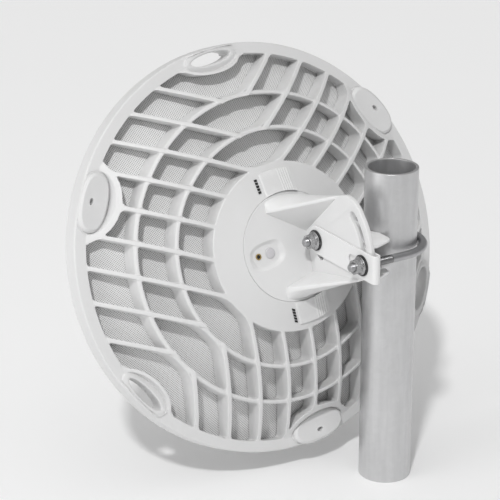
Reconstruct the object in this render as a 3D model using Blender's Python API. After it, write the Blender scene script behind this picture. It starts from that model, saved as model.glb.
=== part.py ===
"""Parabolic dish antenna with a ribbed plastic frame, tilt bracket and pole clamp.

Metres, +Z up. The origin is at the foot of the upright pipe, on its axis. The dish
looks along -Y, its back faces +Y, and the head sits beside the pipe at +X.
"""
import math

import bmesh
import bpy
from mathutils import Matrix, Vector
from mathutils.geometry import delaunay_2d_cdt

GAP = 0.0003

# Upright pipe
PIPE_RADIUS = 0.0254
PIPE_WALL = 0.0030
PIPE_HEIGHT = 0.317

# Clamp on the pipe
CLAMP_HEIGHT = 0.2426
LEG_SPACING = 0.0767
LEG_RADIUS = 0.0040
LEG_TIP = 0.0165
HOLE_PLAY = 0.0006
STRIP_HALF_HEIGHT = 0.0138
STRIP_THICKNESS = 0.0019
STRIP_REAR = 0.0148
STRIP_SLOT_LENGTH = 0.0188
STRIP_SLOT_BEFORE_LEG = 0.0089
JAW_WALL = 0.0024
JAW_HALF_HEIGHT = 0.0172
JAW_BACK_HALF_LENGTH = 0.0330
JAW_OUTLINE = ((0.0405, 0.0), (0.0418, 0.0050), (0.0345, 0.0235), (0.0315, 0.0262), (0.0270, 0.0272))
WASHER_RADIUS = 0.0100
WASHER_HEIGHT = 0.0015

# Flange nut: (radius, height, whether six-sided) up its outside
NUT_PROFILE = ((0.00895, 0.0, False), (0.00895, 0.0012, False), (0.0078, 0.0021, False),
               (0.0075, 0.0024, True), (0.0075, 0.0074, True), (0.0068, 0.0080, False))
NUT_HALF_FLATS = 0.0065

# Tilt bracket: the plate's outline is (back, up) from the tilt axis
PLATE_FACE_X = 0.0560
PLATE_THICKNESS = 0.0044
PIVOT_BEHIND_DISC = 0.04404
PIVOT_BELOW_AXIS = 0.00606
PIVOT_BEHIND_FRONT_LEG = 0.02635
TILT_AT_REST = math.radians(18.8)
PLATE_TOP = ((-0.0470, 0.0491), (0.0358, 0.0489), (0.0432, 0.0459), (0.0478, 0.0423),
             (0.0518, 0.0379), (0.0546, 0.0337))
PLATE_LOW = ((0.0498, -0.0297), (0.0348, -0.0317), (-0.0470, -0.0362))
PLATE_REAR_CENTRE = (0.0038, 0.0013)
PLATE_REAR_RADIUS = 0.0592
WEB_STEPS = 6
WEB_SKIRT_RADIUS = 0.0505
WEBS = {
    1: {"tip_x": -0.0222, "rear": 0.0182, "foot_tip": 0.0418, "foot_plate": 0.0175,
        "inner_tip": 0.0413, "inner_rear": 0.0464, "outer_tip": 0.0443, "outer_rear": 0.0490},
    -1: {"tip_x": -0.0145, "rear": 0.0349, "foot_tip": -0.0317, "foot_plate": -0.0219,
         "inner_tip": -0.0317, "inner_rear": -0.0295, "outer_tip": -0.0359, "outer_rear": -0.0319},
}
FRONT_SLOT_RADIUS = PIVOT_BEHIND_FRONT_LEG
REAR_SLOT_RADIUS = LEG_SPACING - PIVOT_BEHIND_FRONT_LEG
FRONT_SLOT_RANGE = (math.radians(159.0), math.radians(194.8))
REAR_SLOT_RANGE = (math.radians(-21.5), math.radians(35.1))

# Dish, along its own axis: depth is measured back from the front of the rim
DISH_AXIS_X = 0.0741
DISH_RADIUS = 0.200
RIM_INNER = 0.1885
RIM_DEPTH = 0.0192
RIM_CROWN = 0.0026
HUB_RADIUS = 0.0817
HUB_TOP = 0.0717
HUB_HOLE_RADIUS = 0.0528
DISC_RADIUS = 0.0525
DISC_TOP = 0.0785
DISC_BOTTOM = 0.0700
REFLECTOR_VERTEX = 0.0615
REFLECTOR_RIM = 0.0050
REFLECTOR_WALL = 0.0012
REFLECTOR_CLEAR = 0.0009
REFLECTOR_CIRCLES = (0.030, 0.060, 0.090, 0.120, 0.145, 0.1635)

# Recess in the disc, with its button and screw
RECESS_CENTRE = (-0.0280, -0.0037)
RECESS_HALF = (0.0205, 0.0138)
RECESS_TURN = math.radians(10.0)
RECESS_DEPTH = 0.0030
RECESS_FLOOR_SHARE = 0.70
BUTTON_CENTRE = (-0.0234, -0.0023)
BUTTON_RADIUS = 0.0052
SCREW_CENTRE = (-0.0366, -0.0035)
SCREW_RADIUS = 0.0030

# Rib pattern, three sectors of parallel ribs
SECTOR_ANGLES = [math.radians(a) for a in (156.5, 276.5, 36.5)]
BOSS_ANGLES = [math.radians(a) for a in (156.5, 278.3, 36.5)]
RIB_PITCH = 0.0304
RIB_WIDTH = 0.0040
RING_RADII = (0.0817, 0.1147, 0.1496)
RIBS_PER_RING = (2, 3, 4)
CORNER_TRIM = 0.0055
BOSS_CENTRE = 0.1862
BOSS_HALF = (0.0360, 0.0220)
CAP_HALF = (0.0300, 0.0161)
CAP_HEIGHT = 0.0050
CAP_SEAT = 0.0218
HANDLE_CENTRE = 0.1895
HANDLE_HALF = (0.0210, 0.0068)
COLLAR_HALF = (0.0340, 0.0150)
LIP_HALF = (0.0245, 0.0100)
LIP_RISE = 0.0022

# Latch tabs on the hub: direction, then the tab's two edges and the strip beside it
TABS = (("upper", math.radians(95.5), -0.0196, 0.0138, 0.0181),
        ("lower", math.radians(270.5), -0.0055, 0.0285, 0.0088))
TAB_INNER = 0.0534
TAB_OUTER = 0.0752
TAB_HEIGHT = 0.0036
TAB_RAMP = 0.0030
SCALE_HALF_WIDTH = 0.0015
SCALE_RANGE = (0.0574, 0.0712)

# Feed on the dish axis
FEED_TUBE_RADIUS = 0.0150
FEED_CAP_RADIUS = 0.0290
FEED_JOIN = -0.0600
FEED_TIP = -0.0900
CORE_RADIUS = 0.0500
CORE_FRONT = (0.0630, 0.0600, 0.0592)

PIVOT_DEPTH = DISC_TOP + PIVOT_BEHIND_DISC

# Lays a shape built along Z along X
Z_TO_X = Matrix(((0.0, 0.0, 1.0, 0.0), (1.0, 0.0, 0.0, 0.0), (0.0, 1.0, 0.0, 0.0), (0.0, 0.0, 0.0, 1.0)))


def clear_scene():
    """Empty the scene."""
    for old in list(bpy.data.objects):
        bpy.data.objects.remove(old, do_unlink=True)


def material(name, colour, roughness, metallic=0.0):
    """Make a plain Principled material."""
    made = bpy.data.materials.new(name)
    made.use_nodes = True
    shader = made.node_tree.nodes["Principled BSDF"]
    shader.inputs["Base Color"].default_value = (*colour, 1.0)
    shader.inputs["Roughness"].default_value = roughness
    shader.inputs["Metallic"].default_value = metallic
    return made


def add_object(name, mesh, finish, parent=None, smooth=True):
    """Put a mesh in the scene as a named object."""
    made = bpy.data.objects.new(name, mesh)
    bpy.context.scene.collection.objects.link(made)
    mesh.materials.append(finish)
    made.parent = parent
    if smooth:
        mesh.shade_smooth()
        mesh.set_sharp_from_angle(angle=math.radians(35.0))
    return made


def mesh_of(shape, name):
    """Turn a bmesh into a mesh with its faces pointing out."""
    bmesh.ops.recalc_face_normals(shape, faces=shape.faces)
    if shape.calc_volume(signed=True) < 0.0:
        bmesh.ops.reverse_faces(shape, faces=shape.faces)
    made = bpy.data.meshes.new(name)
    shape.to_mesh(made)
    shape.free()
    return made


def revolve(points, steps):
    """Turn a closed outline of (radius, height) points about Z into a bmesh."""
    shape = bmesh.new()
    rings = []
    for radius, height in points:
        if radius < 1e-7:
            rings.append([shape.verts.new((0.0, 0.0, height))])
            continue
        ring = []
        for step in range(steps):
            angle = 2.0 * math.pi * step / steps
            ring.append(shape.verts.new((radius * math.cos(angle), radius * math.sin(angle), height)))
        rings.append(ring)
    count = len(rings)
    for index in range(count):
        first = rings[index]
        second = rings[(index + 1) % count]
        if len(first) == 1 and len(second) == 1:
            continue
        for step in range(steps):
            after = (step + 1) % steps
            if len(first) == 1:
                shape.faces.new((first[0], second[after], second[step]))
            elif len(second) == 1:
                shape.faces.new((first[step], first[after], second[0]))
            else:
                shape.faces.new((first[step], first[after], second[after], second[step]))
    return shape


def arc(radius, start, end, steps, centre=(0.0, 0.0)):
    """Points on an arc."""
    made = []
    for step in range(steps + 1):
        angle = start + (end - start) * step / steps
        made.append((centre[0] + radius * math.cos(angle), centre[1] + radius * math.sin(angle)))
    return made


def counter_clockwise(loop):
    """The loop's points, in counter-clockwise order."""
    area = 0.0
    for index, point in enumerate(loop):
        before = loop[index - 1]
        area += before[0] * point[1] - point[0] * before[1]
    return list(loop) if area > 0.0 else list(reversed(loop))


def layered_solid(outline, holes, top, bottom, creases=()):
    """Solid between two surfaces over a flat region with holes.

    Top and bottom are functions of a point's x and y that give its height. Creases are
    closed loops inside the region along which both surfaces get points.
    """
    loops = [counter_clockwise(loop) for loop in [outline] + list(holes)]
    points = []
    faces = []
    edges = []
    for loop in loops:
        start = len(points)
        points.extend(Vector(point) for point in loop)
        faces.append(list(range(start, start + len(loop))))
    for loop in creases:
        start = len(points)
        points.extend(Vector(point) for point in loop)
        edges.extend((start + i, start + (i + 1) % len(loop)) for i in range(len(loop)))
    verts, _, triangles, _, _, sources = delaunay_2d_cdt(points, edges, faces, 1, 1e-7)
    shape = bmesh.new()
    uppers = [shape.verts.new((v.x, v.y, top(v.x, v.y))) for v in verts]
    lowers = [shape.verts.new((v.x, v.y, bottom(v.x, v.y))) for v in verts]
    rims = {}
    for triangle, source in zip(triangles, sources):
        if any(origin > 0 for origin in source) or not source:
            continue
        shape.faces.new([uppers[i] for i in triangle])
        shape.faces.new([lowers[i] for i in reversed(triangle)])
        for index, start in enumerate(triangle):
            end = triangle[(index + 1) % len(triangle)]
            if (end, start) in rims:
                del rims[(end, start)]
            else:
                rims[(start, end)] = True
    for start, end in rims:
        shape.faces.new((uppers[end], uppers[start], lowers[start], lowers[end]))
    loose = [v for v in shape.verts if not v.link_faces]
    bmesh.ops.delete(shape, geom=loose, context="VERTS")
    return shape


def rounded_loop(sides, trims, steps=3):
    """Join polyline sides end to end, with rounded corners."""
    made = []
    count = len(sides)
    for index, side in enumerate(sides):
        before = trims[index]
        after = trims[(index + 1) % count]
        chain = [Vector(point) for point in side]
        corner = chain[-1].copy()
        cut = trim_two(chain, before, after)
        made.extend(cut)
        following = [Vector(point) for point in sides[(index + 1) % count]]
        next_cut = trim_two(following, after, trims[(index + 2) % count])
        for step in range(1, steps):
            t = step / steps
            made.append(cut[-1] * (1 - t) ** 2 + corner * 2 * t * (1 - t) + next_cut[0] * t * t)
    return [tuple(point) for point in made]


def trim_two(chain, before, after):
    """Shorten a polyline by one length at its start and another at its end."""
    made = list(chain)
    for length in (before, after):
        left = length
        while len(made) > 2 and (made[0] - made[1]).length <= left:
            left -= (made[0] - made[1]).length
            made.pop(0)
        step = made[1] - made[0]
        made[0] = made[0] + step * min(left / step.length, 0.45)
        made.reverse()
    return made


def in_oval(x, y, angle, radius, half):
    """Whether a point lies in an oval set round the rim."""
    along = (x * math.cos(angle) + y * math.sin(angle) - radius) / half[1]
    across = (y * math.cos(angle) - x * math.sin(angle)) / half[0]
    return along * along + across * across <= 1.0


def hub_surface(radius):
    """Depth of the domed hub ring between the disc and the ribs."""
    share = (radius - DISC_RADIUS) / (HUB_RADIUS - DISC_RADIUS)
    return DISC_TOP - (DISC_TOP - HUB_TOP) * min(max(share, 0.0), 1.0)


def rib_top(x, y):
    """Depth of the frame's back surface at a point of the dish."""
    radius = math.hypot(x, y)
    for sector, boss in zip(SECTOR_ANGLES, BOSS_ANGLES):
        if radius < DISH_RADIUS - 0.0005 and in_oval(x, y, boss, BOSS_CENTRE, CAP_HALF):
            return CAP_SEAT
        middle = sector + math.radians(60.0)
        if radius < DISH_RADIUS - 0.0005 and in_oval(x, y, middle, HANDLE_CENTRE, LIP_HALF):
            return RIM_DEPTH + RIM_CROWN + LIP_RISE
    if radius <= HUB_RADIUS:
        return hub_surface(radius)
    crown = RIM_DEPTH + RIM_CROWN
    if radius > RIM_INNER:
        return crown - RIM_CROWN * (radius - RIM_INNER) / (DISH_RADIUS - RIM_INNER)
    share = (radius - HUB_RADIUS) / (RIM_INNER - HUB_RADIUS)
    return HUB_TOP - (HUB_TOP - crown) * (0.28 * share + 0.72 * share * share)


def reflector_back(x, y):
    """Depth of the reflector's back surface at a point of the dish."""
    share = (x * x + y * y) / RIM_INNER ** 2
    return REFLECTOR_VERTEX - (REFLECTOR_VERTEX - REFLECTOR_RIM) * share


def oval_entry(angle, centre_angle, centre_radius, half):
    """Distance at which a ray from the axis enters an oval set round the rim, or None."""
    turn = (angle - centre_angle + math.pi) % (2.0 * math.pi) - math.pi
    along = math.cos(turn) / half[1]
    across = math.sin(turn) / half[0]
    a = along * along + across * across
    b = -2.0 * centre_radius / half[1] * along
    c = (centre_radius / half[1]) ** 2 - 1.0
    inside = b * b - 4.0 * a * c
    if inside <= 0.0 or abs(turn) > math.radians(30.0):
        return None
    return (-b - math.sqrt(inside)) / (2.0 * a)


def rim_edge(angle):
    """Inner radius of the rim band, with its bosses and handle collars."""
    radius = RIM_INNER
    for sector, place in zip(SECTOR_ANGLES, BOSS_ANGLES):
        boss = oval_entry(angle, place, BOSS_CENTRE, BOSS_HALF)
        collar = oval_entry(angle, sector + math.radians(60.0), HANDLE_CENTRE, COLLAR_HALF)
        for entry in (boss, collar):
            if entry is not None:
                radius = min(radius, entry)
    return radius


def polar_arc(radius_at, start, end, step):
    """Points on a polar curve."""
    count = max(2, int(math.ceil(abs(end - start) / step)))
    made = []
    for index in range(count + 1):
        angle = start + (end - start) * index / count
        radius = radius_at(angle)
        made.append((radius * math.cos(angle), radius * math.sin(angle)))
    return made


def line_meets(sector, offset, radius_at):
    """Angle at which a line beside a sector's axis meets a polar curve."""
    radius = radius_at(sector)
    angle = sector
    for _ in range(60):
        angle = sector + math.asin(max(-1.0, min(1.0, offset / radius)))
        radius = 0.5 * radius + 0.5 * radius_at(angle)
    return angle


def window(first, first_offset, second, second_offset, inner, outer, trims, step):
    """One opening between two ribs, an inner curve and an outer curve."""
    a_in = line_meets(first, first_offset, inner)
    a_out = line_meets(first, first_offset, outer)
    b_in = line_meets(second, second_offset, inner)
    b_out = line_meets(second, second_offset, outer)
    if b_in < a_in - 1e-6:
        b_in += 2.0 * math.pi
    if b_out < a_out - 1e-6:
        b_out += 2.0 * math.pi
    inner_arc = polar_arc(inner, b_in, a_in, step)
    outer_arc = polar_arc(outer, a_out, b_out, step)
    first_side = [inner_arc[-1], outer_arc[0]]
    second_side = [outer_arc[-1], inner_arc[0]]
    return rounded_loop([first_side, outer_arc, second_side, inner_arc], trims)


def rib_windows():
    """All openings of the rib frame."""
    made = []
    half = RIB_WIDTH / 2.0
    for ring, ribs in enumerate(RIBS_PER_RING):
        inner_radius = RING_RADII[ring] + (half if ring else 0.0)

        def inner(_, radius=inner_radius):
            return radius

        if ring + 1 < len(RING_RADII):
            outer_radius = RING_RADII[ring + 1] - half

            def outer(_, radius=outer_radius):
                return radius
        else:
            outer = rim_edge
        step = math.radians(2.5 if ring + 1 == len(RING_RADII) else 6.0)
        for index, sector in enumerate(SECTOR_ANGLES):
            for rib in range(-ribs, ribs):
                low = rib * RIB_PITCH + half
                high = (rib + 1) * RIB_PITCH - half
                trims = [CORNER_TRIM * 0.7, CORNER_TRIM, CORNER_TRIM, CORNER_TRIM * 0.7]
                made.append(window(sector, low, sector, high, inner, outer, trims, step))
            following = SECTOR_ANGLES[(index + 1) % 3]
            low = ribs * RIB_PITCH + half
            trims = [CORNER_TRIM * 2.4, CORNER_TRIM, CORNER_TRIM, CORNER_TRIM * 2.4]
            made.append(window(sector, low, following, -low, inner, outer, trims, step))
    return made


def oval_loop(angle, radius, half, steps):
    """Oval set round the rim, its long way along the rim."""
    made = []
    for index in range(steps):
        turn = 2.0 * math.pi * index / steps
        along = radius + half[1] * math.cos(turn)
        across = half[0] * math.sin(turn)
        made.append((along * math.cos(angle) - across * math.sin(angle),
                     along * math.sin(angle) + across * math.cos(angle)))
    return made


def handle_holes():
    """Finger holes through the rim, on the lines between the sectors."""
    return [oval_loop(sector + math.radians(60.0), HANDLE_CENTRE, HANDLE_HALF, 20)
            for sector in SECTOR_ANGLES]


def frame_creases():
    """Loops along which the frame's surfaces change slope."""
    made = []
    for sector, boss in zip(SECTOR_ANGLES, BOSS_ANGLES):
        seat = oval_loop(boss, BOSS_CENTRE, (CAP_HALF[0] - 0.0012, CAP_HALF[1] - 0.0012), 28)
        clipped = []
        for x, y in seat:
            shrink = min(1.0, (DISH_RADIUS - 0.0010) / math.hypot(x, y))
            clipped.append((x * shrink, y * shrink))
        made.append(clipped)
        made.append(oval_loop(sector + math.radians(60.0), HANDLE_CENTRE,
                              (LIP_HALF[0] - 0.0005, LIP_HALF[1] - 0.0005), 20))
    return made


def to_head(mesh):
    """Turn a mesh built on the dish axis (depth up) into the head's own frame."""
    turn = Matrix(((-1.0, 0.0, 0.0, DISH_AXIS_X),
                   (0.0, 0.0, 1.0, -PIVOT_DEPTH),
                   (0.0, 1.0, 0.0, PIVOT_BELOW_AXIS),
                   (0.0, 0.0, 0.0, 1.0)))
    mesh.transform(turn)
    return mesh


def build_rib_frame():
    """Ribs, rim band and hub ring, one moulding."""
    outline = arc(DISH_RADIUS, 0.0, 2.0 * math.pi, 96)[:-1]
    hub_hole = arc(HUB_HOLE_RADIUS, 0.0, 2.0 * math.pi, 64)[:-1]
    holes = rib_windows() + handle_holes() + [hub_hole]

    def bottom(x, y):
        if math.hypot(x, y) > RIM_INNER + 0.0009:
            return 0.0
        return reflector_back(x, y) + REFLECTOR_CLEAR

    edge = [arc(RIM_INNER + step, 0.0, 2.0 * math.pi, 96)[:-1] for step in (0.0006, 0.0014)]
    shape = layered_solid(outline, holes, rib_top, bottom, frame_creases() + edge)
    return to_head(mesh_of(shape, "rib_frame"))


def reflector_edge(angle):
    """Outer radius of the reflector, notched round the finger holes."""
    radius = RIM_INNER + 0.0001
    notch_half = (LIP_HALF[0] + 0.001, LIP_HALF[1] + 0.001)
    for sector in SECTOR_ANGLES:
        notch = oval_entry(angle, sector + math.radians(60.0), HANDLE_CENTRE, notch_half)
        if notch is not None:
            radius = min(radius, notch)
    return radius


def build_reflector():
    """Thin dished sheet in front of the ribs, with a hole for the feed."""
    outline = polar_arc(reflector_edge, 0.0, 2.0 * math.pi, math.radians(3.0))[:-1]
    feed_hole = arc(FEED_TUBE_RADIUS + 0.0012, 0.0, 2.0 * math.pi, 24)[:-1]
    circles = [arc(radius, 0.0, 2.0 * math.pi, 48)[:-1] for radius in REFLECTOR_CIRCLES]
    shape = layered_solid(outline, [feed_hole], reflector_back,
                          lambda x, y: reflector_back(x, y) - REFLECTOR_WALL, circles)
    return to_head(mesh_of(shape, "reflector"))


def recess_place(share, turn):
    """Point of the disc on a smaller copy of the recess's edge."""
    power = 2.0 / 2.7
    cosine = math.cos(turn)
    sine = math.sin(turn)
    along = math.copysign(abs(cosine) ** power, cosine) * RECESS_HALF[0] * share
    across = math.copysign(abs(sine) ** power, sine) * RECESS_HALF[1] * share
    return (RECESS_CENTRE[0] + along * math.cos(RECESS_TURN) - across * math.sin(RECESS_TURN),
            RECESS_CENTRE[1] + along * math.sin(RECESS_TURN) + across * math.cos(RECESS_TURN))


def recess_share(x, y):
    """How far out a point of the disc lies in the recess: 0 at its middle, 1 at its edge."""
    dx = x - RECESS_CENTRE[0]
    dy = y - RECESS_CENTRE[1]
    along = abs(dx * math.cos(RECESS_TURN) + dy * math.sin(RECESS_TURN)) / RECESS_HALF[0]
    across = abs(dy * math.cos(RECESS_TURN) - dx * math.sin(RECESS_TURN)) / RECESS_HALF[1]
    return (along ** 2.7 + across ** 2.7) ** (1.0 / 2.7)


def disc_surface(x, y):
    """Depth of the disc's back surface, with its recess."""
    if math.hypot(x, y) > DISC_RADIUS - 0.0001:
        return DISC_TOP - 0.0008
    share = (1.0 - recess_share(x, y)) / (1.0 - RECESS_FLOOR_SHARE)
    share = min(max(share, 0.0), 1.0)
    return DISC_TOP - RECESS_DEPTH * share * share * (3.0 - 2.0 * share)


def build_disc():
    """Disc of the bracket, set in the hub ring."""
    outline = arc(DISC_RADIUS, 0.0, 2.0 * math.pi, 64)[:-1]
    creases = [arc(DISC_RADIUS - 0.0008, 0.0, 2.0 * math.pi, 64)[:-1]]
    for share in (0.70, 0.80, 0.90, 1.0):
        creases.append([recess_place(share, 2.0 * math.pi * step / 32) for step in range(32)])
    shape = layered_solid(outline, [], disc_surface, lambda x, y: DISC_BOTTOM, creases)
    return to_head(mesh_of(shape, "disc"))


def slot_outline(radius, limits):
    """An arc slot about the tilt axis."""
    low, high = limits
    half = LEG_RADIUS + HOLE_PLAY
    outer = arc(radius + half, high, low, 12)
    inner = arc(radius - half, low, high, 12)
    low_centre = (radius * math.cos(low), radius * math.sin(low))
    high_centre = (radius * math.cos(high), radius * math.sin(high))
    low_cap = arc(half, low, low - math.pi, 6, low_centre)[1:-1]
    high_cap = arc(half, high + math.pi, high, 6, high_centre)[1:-1]
    return outer + low_cap + inner + high_cap


def build_plate():
    """Upright plate of the bracket, its faces normal to X."""
    rear = arc(PLATE_REAR_RADIUS, math.radians(27.0), math.radians(-27.0), 12, PLATE_REAR_CENTRE)
    outline = list(PLATE_TOP) + rear + list(PLATE_LOW)
    slots = [slot_outline(FRONT_SLOT_RADIUS, FRONT_SLOT_RANGE),
             slot_outline(REAR_SLOT_RADIUS, REAR_SLOT_RANGE)]
    shape = layered_solid(outline, slots, lambda x, y: PLATE_FACE_X,
                          lambda x, y: PLATE_FACE_X - PLATE_THICKNESS)
    shape.transform(Z_TO_X)
    return mesh_of(shape, "plate")


def blend_values(first, second, share):
    """Value between two others."""
    return first + (second - first) * share


def build_web(side):
    """Gusset between the disc and the plate's upper or lower edge, as sections across X."""
    web = WEBS[side]
    plate_x = DISH_AXIS_X - PLATE_FACE_X
    shape = bmesh.new()
    rings = []
    for step in range(WEB_STEPS + 1):
        share = step / WEB_STEPS
        x = blend_values(web["tip_x"], plate_x, share)
        rings.append(web_section(web, side, x, share))
    rings.append(web_section(web, side, plate_x + PLATE_THICKNESS * 0.6, 1.0))
    loops = [[shape.verts.new(point) for point in ring] for ring in rings]
    for first, second in zip(loops, loops[1:]):
        for index in range(len(first)):
            after = (index + 1) % len(first)
            shape.faces.new((first[index], first[after], second[after], second[index]))
    shape.faces.new(loops[0])
    shape.faces.new(loops[-1][::-1])
    return mesh_of(shape, "web")


def web_section(web, side, x, share):
    """Section of a gusset: inner foot, free edge, and an outer face down to the disc's edge."""
    base = -PIVOT_BEHIND_DISC - 0.003
    reach = blend_values(0.0008, web["rear"] + PIVOT_BEHIND_DISC, share)
    foot = blend_values(web["foot_tip"], web["foot_plate"], share)
    inner = blend_values(web["inner_tip"], web["inner_rear"], share)
    outer = blend_values(web["outer_tip"], web["outer_rear"], share)
    skirt = side * math.sqrt(WEB_SKIRT_RADIUS ** 2 - x * x) + PIVOT_BELOW_AXIS
    edge = -PIVOT_BEHIND_DISC + reach
    low = -PIVOT_BEHIND_DISC + reach * 0.10
    middle = -PIVOT_BEHIND_DISC + reach * 0.45
    across = DISH_AXIS_X - x
    return [(across, base, foot), (across, -PIVOT_BEHIND_DISC, foot), (across, edge, inner),
            (across, edge, outer), (across, middle, blend_values(outer, skirt, 0.30)),
            (across, low, blend_values(outer, skirt, 0.80)), (across, -PIVOT_BEHIND_DISC, skirt),
            (across, base, skirt)]


def join_solids(name, meshes, finish, parent):
    """Unite several overlapping solids into one object."""
    base = add_object(name, meshes[0], finish, parent)
    for index, mesh in enumerate(meshes[1:]):
        tool = bpy.data.objects.new(name + "_tool_%d" % index, mesh)
        bpy.context.scene.collection.objects.link(tool)
        tool.parent = parent
        tool.hide_render = True
        tool.display_type = "WIRE"
        union = base.modifiers.new("join_%d" % index, "BOOLEAN")
        union.operation = "UNION"
        union.solver = "EXACT"
        union.object = tool
    return base


def cylinder(radius, start, end, steps=24, bore=0.0, chamfer=0.0):
    """Round bar or tube along Z as a bmesh."""
    if bore > 0.0:
        points = [(bore, start), (radius, start), (radius, end), (bore, end)]
    elif chamfer > 0.0:
        points = [(0.0, start), (radius, start), (radius, end - chamfer),
                  (radius - chamfer, end), (0.0, end)]
    else:
        points = [(0.0, start), (radius, start), (radius, end), (0.0, end)]
    return revolve(points, steps)


def along_x(mesh, y, z):
    """Lay a mesh built along Z along X, through a point of the clamp."""
    mesh.transform(Matrix.Translation((0.0, y, z)) @ Z_TO_X)
    return mesh


def build_u_bolt():
    """Round bar bent round the pipe, with both legs toward +X."""
    path = []
    bend = LEG_SPACING / 2.0
    centre_x = -(PIPE_RADIUS + GAP + LEG_RADIUS) + bend
    tip_x = PLATE_FACE_X + LEG_TIP
    path.append((tip_x, -bend))
    steps = 20
    for index in range(steps + 1):
        angle = -math.pi / 2.0 - math.pi * index / steps
        path.append((centre_x + bend * math.cos(angle), bend * math.sin(angle)))
    path.append((tip_x, bend))
    shape = bmesh.new()
    sides = 12
    rings = []
    for index, (x, y) in enumerate(path):
        before = path[max(index - 1, 0)]
        after = path[min(index + 1, len(path) - 1)]
        along = Vector((after[0] - before[0], after[1] - before[1], 0.0)).normalized()
        across = Vector((-along.y, along.x, 0.0))
        ring = []
        for side in range(sides):
            angle = 2.0 * math.pi * side / sides
            offset = across * math.cos(angle) * LEG_RADIUS + Vector((0, 0, 1)) * math.sin(angle) * LEG_RADIUS
            ring.append(shape.verts.new(Vector((x, y, CLAMP_HEIGHT)) + offset))
        rings.append(ring)
    for first, second in zip(rings, rings[1:]):
        for side in range(sides):
            after = (side + 1) % sides
            shape.faces.new((first[side], first[after], second[after], second[side]))
    shape.faces.new(rings[0][::-1])
    shape.faces.new(rings[-1])
    return mesh_of(shape, "u_bolt")


def nut_mesh(start):
    """Flange nut turned in one piece: round flange below, six flats above."""
    shape = bmesh.new()
    sides = 24
    bore = LEG_RADIUS + GAP
    rings = []

    def ring(radius, height, hexed):
        made = []
        for index in range(sides):
            angle = 2.0 * math.pi * index / sides
            reach = radius
            if hexed:
                sixth = (angle + math.pi / 6.0) % (math.pi / 3.0) - math.pi / 6.0
                reach = min(radius, NUT_HALF_FLATS / math.cos(sixth))
            made.append(shape.verts.new((reach * math.cos(angle), reach * math.sin(angle), height)))
        return made

    for radius, height, hexed in NUT_PROFILE:
        rings.append(ring(radius, start + height, hexed))
    rings.append(ring(bore, start + NUT_PROFILE[-1][1], False))
    rings.append(ring(bore, start, False))
    for index, first in enumerate(rings):
        second = rings[(index + 1) % len(rings)]
        for side in range(sides):
            after = (side + 1) % sides
            shape.faces.new((first[side], first[after], second[after], second[side]))
    return mesh_of(shape, "flange_nut")


def box_mesh(low, high, name):
    """Plain block between two corners."""
    shape = bmesh.new()
    bmesh.ops.create_cube(shape, size=1.0)
    size = [high[i] - low[i] for i in range(3)]
    middle = [(high[i] + low[i]) / 2.0 for i in range(3)]
    for vert in shape.verts:
        vert.co = Vector([vert.co[i] * size[i] + middle[i] for i in range(3)])
    return mesh_of(shape, name)


def hole_loop(length, radius, centre):
    """Round hole, or a slot along the first axis when its length isn't zero."""
    right = arc(radius, -math.pi / 2.0, math.pi / 2.0, 8, (centre[0] + length / 2.0, centre[1]))
    left = arc(radius, math.pi / 2.0, 1.5 * math.pi, 8, (centre[0] - length / 2.0, centre[1]))
    if length == 0.0:
        return right[:-1] + left[:-1]
    return right + left


def build_strip():
    """Sheet channel: a wall under the nuts, a round fold behind, a wall at the pipe's side."""
    half = LEG_SPACING / 2.0
    rear = half + STRIP_REAR
    middle_x = PLATE_FACE_X - PLATE_THICKNESS / 2.0
    inside = PLATE_THICKNESS / 2.0 + GAP
    fold = math.pi * (inside + STRIP_THICKNESS / 2.0)
    length = 2.0 * (rear + half) + fold
    height = STRIP_HALF_HEIGHT
    straight = rear + half
    near_end = arc(height, math.pi / 2.0, 1.5 * math.pi, 12, (0.0, 0.0))
    far_end = arc(height, -math.pi / 2.0, math.pi / 2.0, 12, (length, 0.0))
    bends = [straight + fold * index / 8.0 for index in range(9)]
    outline = near_end + [(u, -height) for u in bends] + far_end + [(u, height) for u in reversed(bends)]
    bore = LEG_RADIUS + HOLE_PLAY
    slot_at = LEG_SPACING - STRIP_SLOT_BEFORE_LEG
    holes = [hole_loop(0.0, bore, (0.0, 0.0)), hole_loop(0.0, bore, (length, 0.0)),
             hole_loop(STRIP_SLOT_LENGTH, bore, (slot_at, 0.0)),
             hole_loop(STRIP_SLOT_LENGTH, bore, (length - slot_at, 0.0))]
    panels = [[(a, -height), (b, -height), (b, height), (a, height)] for a, b in zip(bends, bends[1:])]
    shape = layered_solid(outline, holes, lambda x, y: STRIP_THICKNESS, lambda x, y: 0.0, panels)
    for vert in shape.verts:
        along, up, out = vert.co
        reach = inside + out
        if along <= straight:
            vert.co = (middle_x + reach, -half + along, up)
        elif along >= straight + fold:
            vert.co = (middle_x - reach, rear - (along - straight - fold), up)
        else:
            angle = math.pi * (along - straight) / fold
            vert.co = (middle_x + reach * math.cos(angle), rear + reach * math.sin(angle), up)
    mesh = mesh_of(shape, "clamp_strip")
    mesh.transform(Matrix.Translation((0.0, 0.0, CLAMP_HEIGHT)))
    return mesh


def jaw_outline(near):
    """Top view of the jaw's toothed flanges."""
    apex = (PIPE_RADIUS + GAP + 0.0002) / math.sin(math.radians(60.0))
    side = [(near, JAW_OUTLINE[0][0])] + [(near - step, y) for y, step in JAW_OUTLINE[1:]]
    tip_x = side[-1][0]
    side.append((tip_x, (apex - tip_x) * math.tan(math.radians(60.0))))
    return side + [(apex, 0.0)] + [(x, -y) for x, y in reversed(side)]


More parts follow.
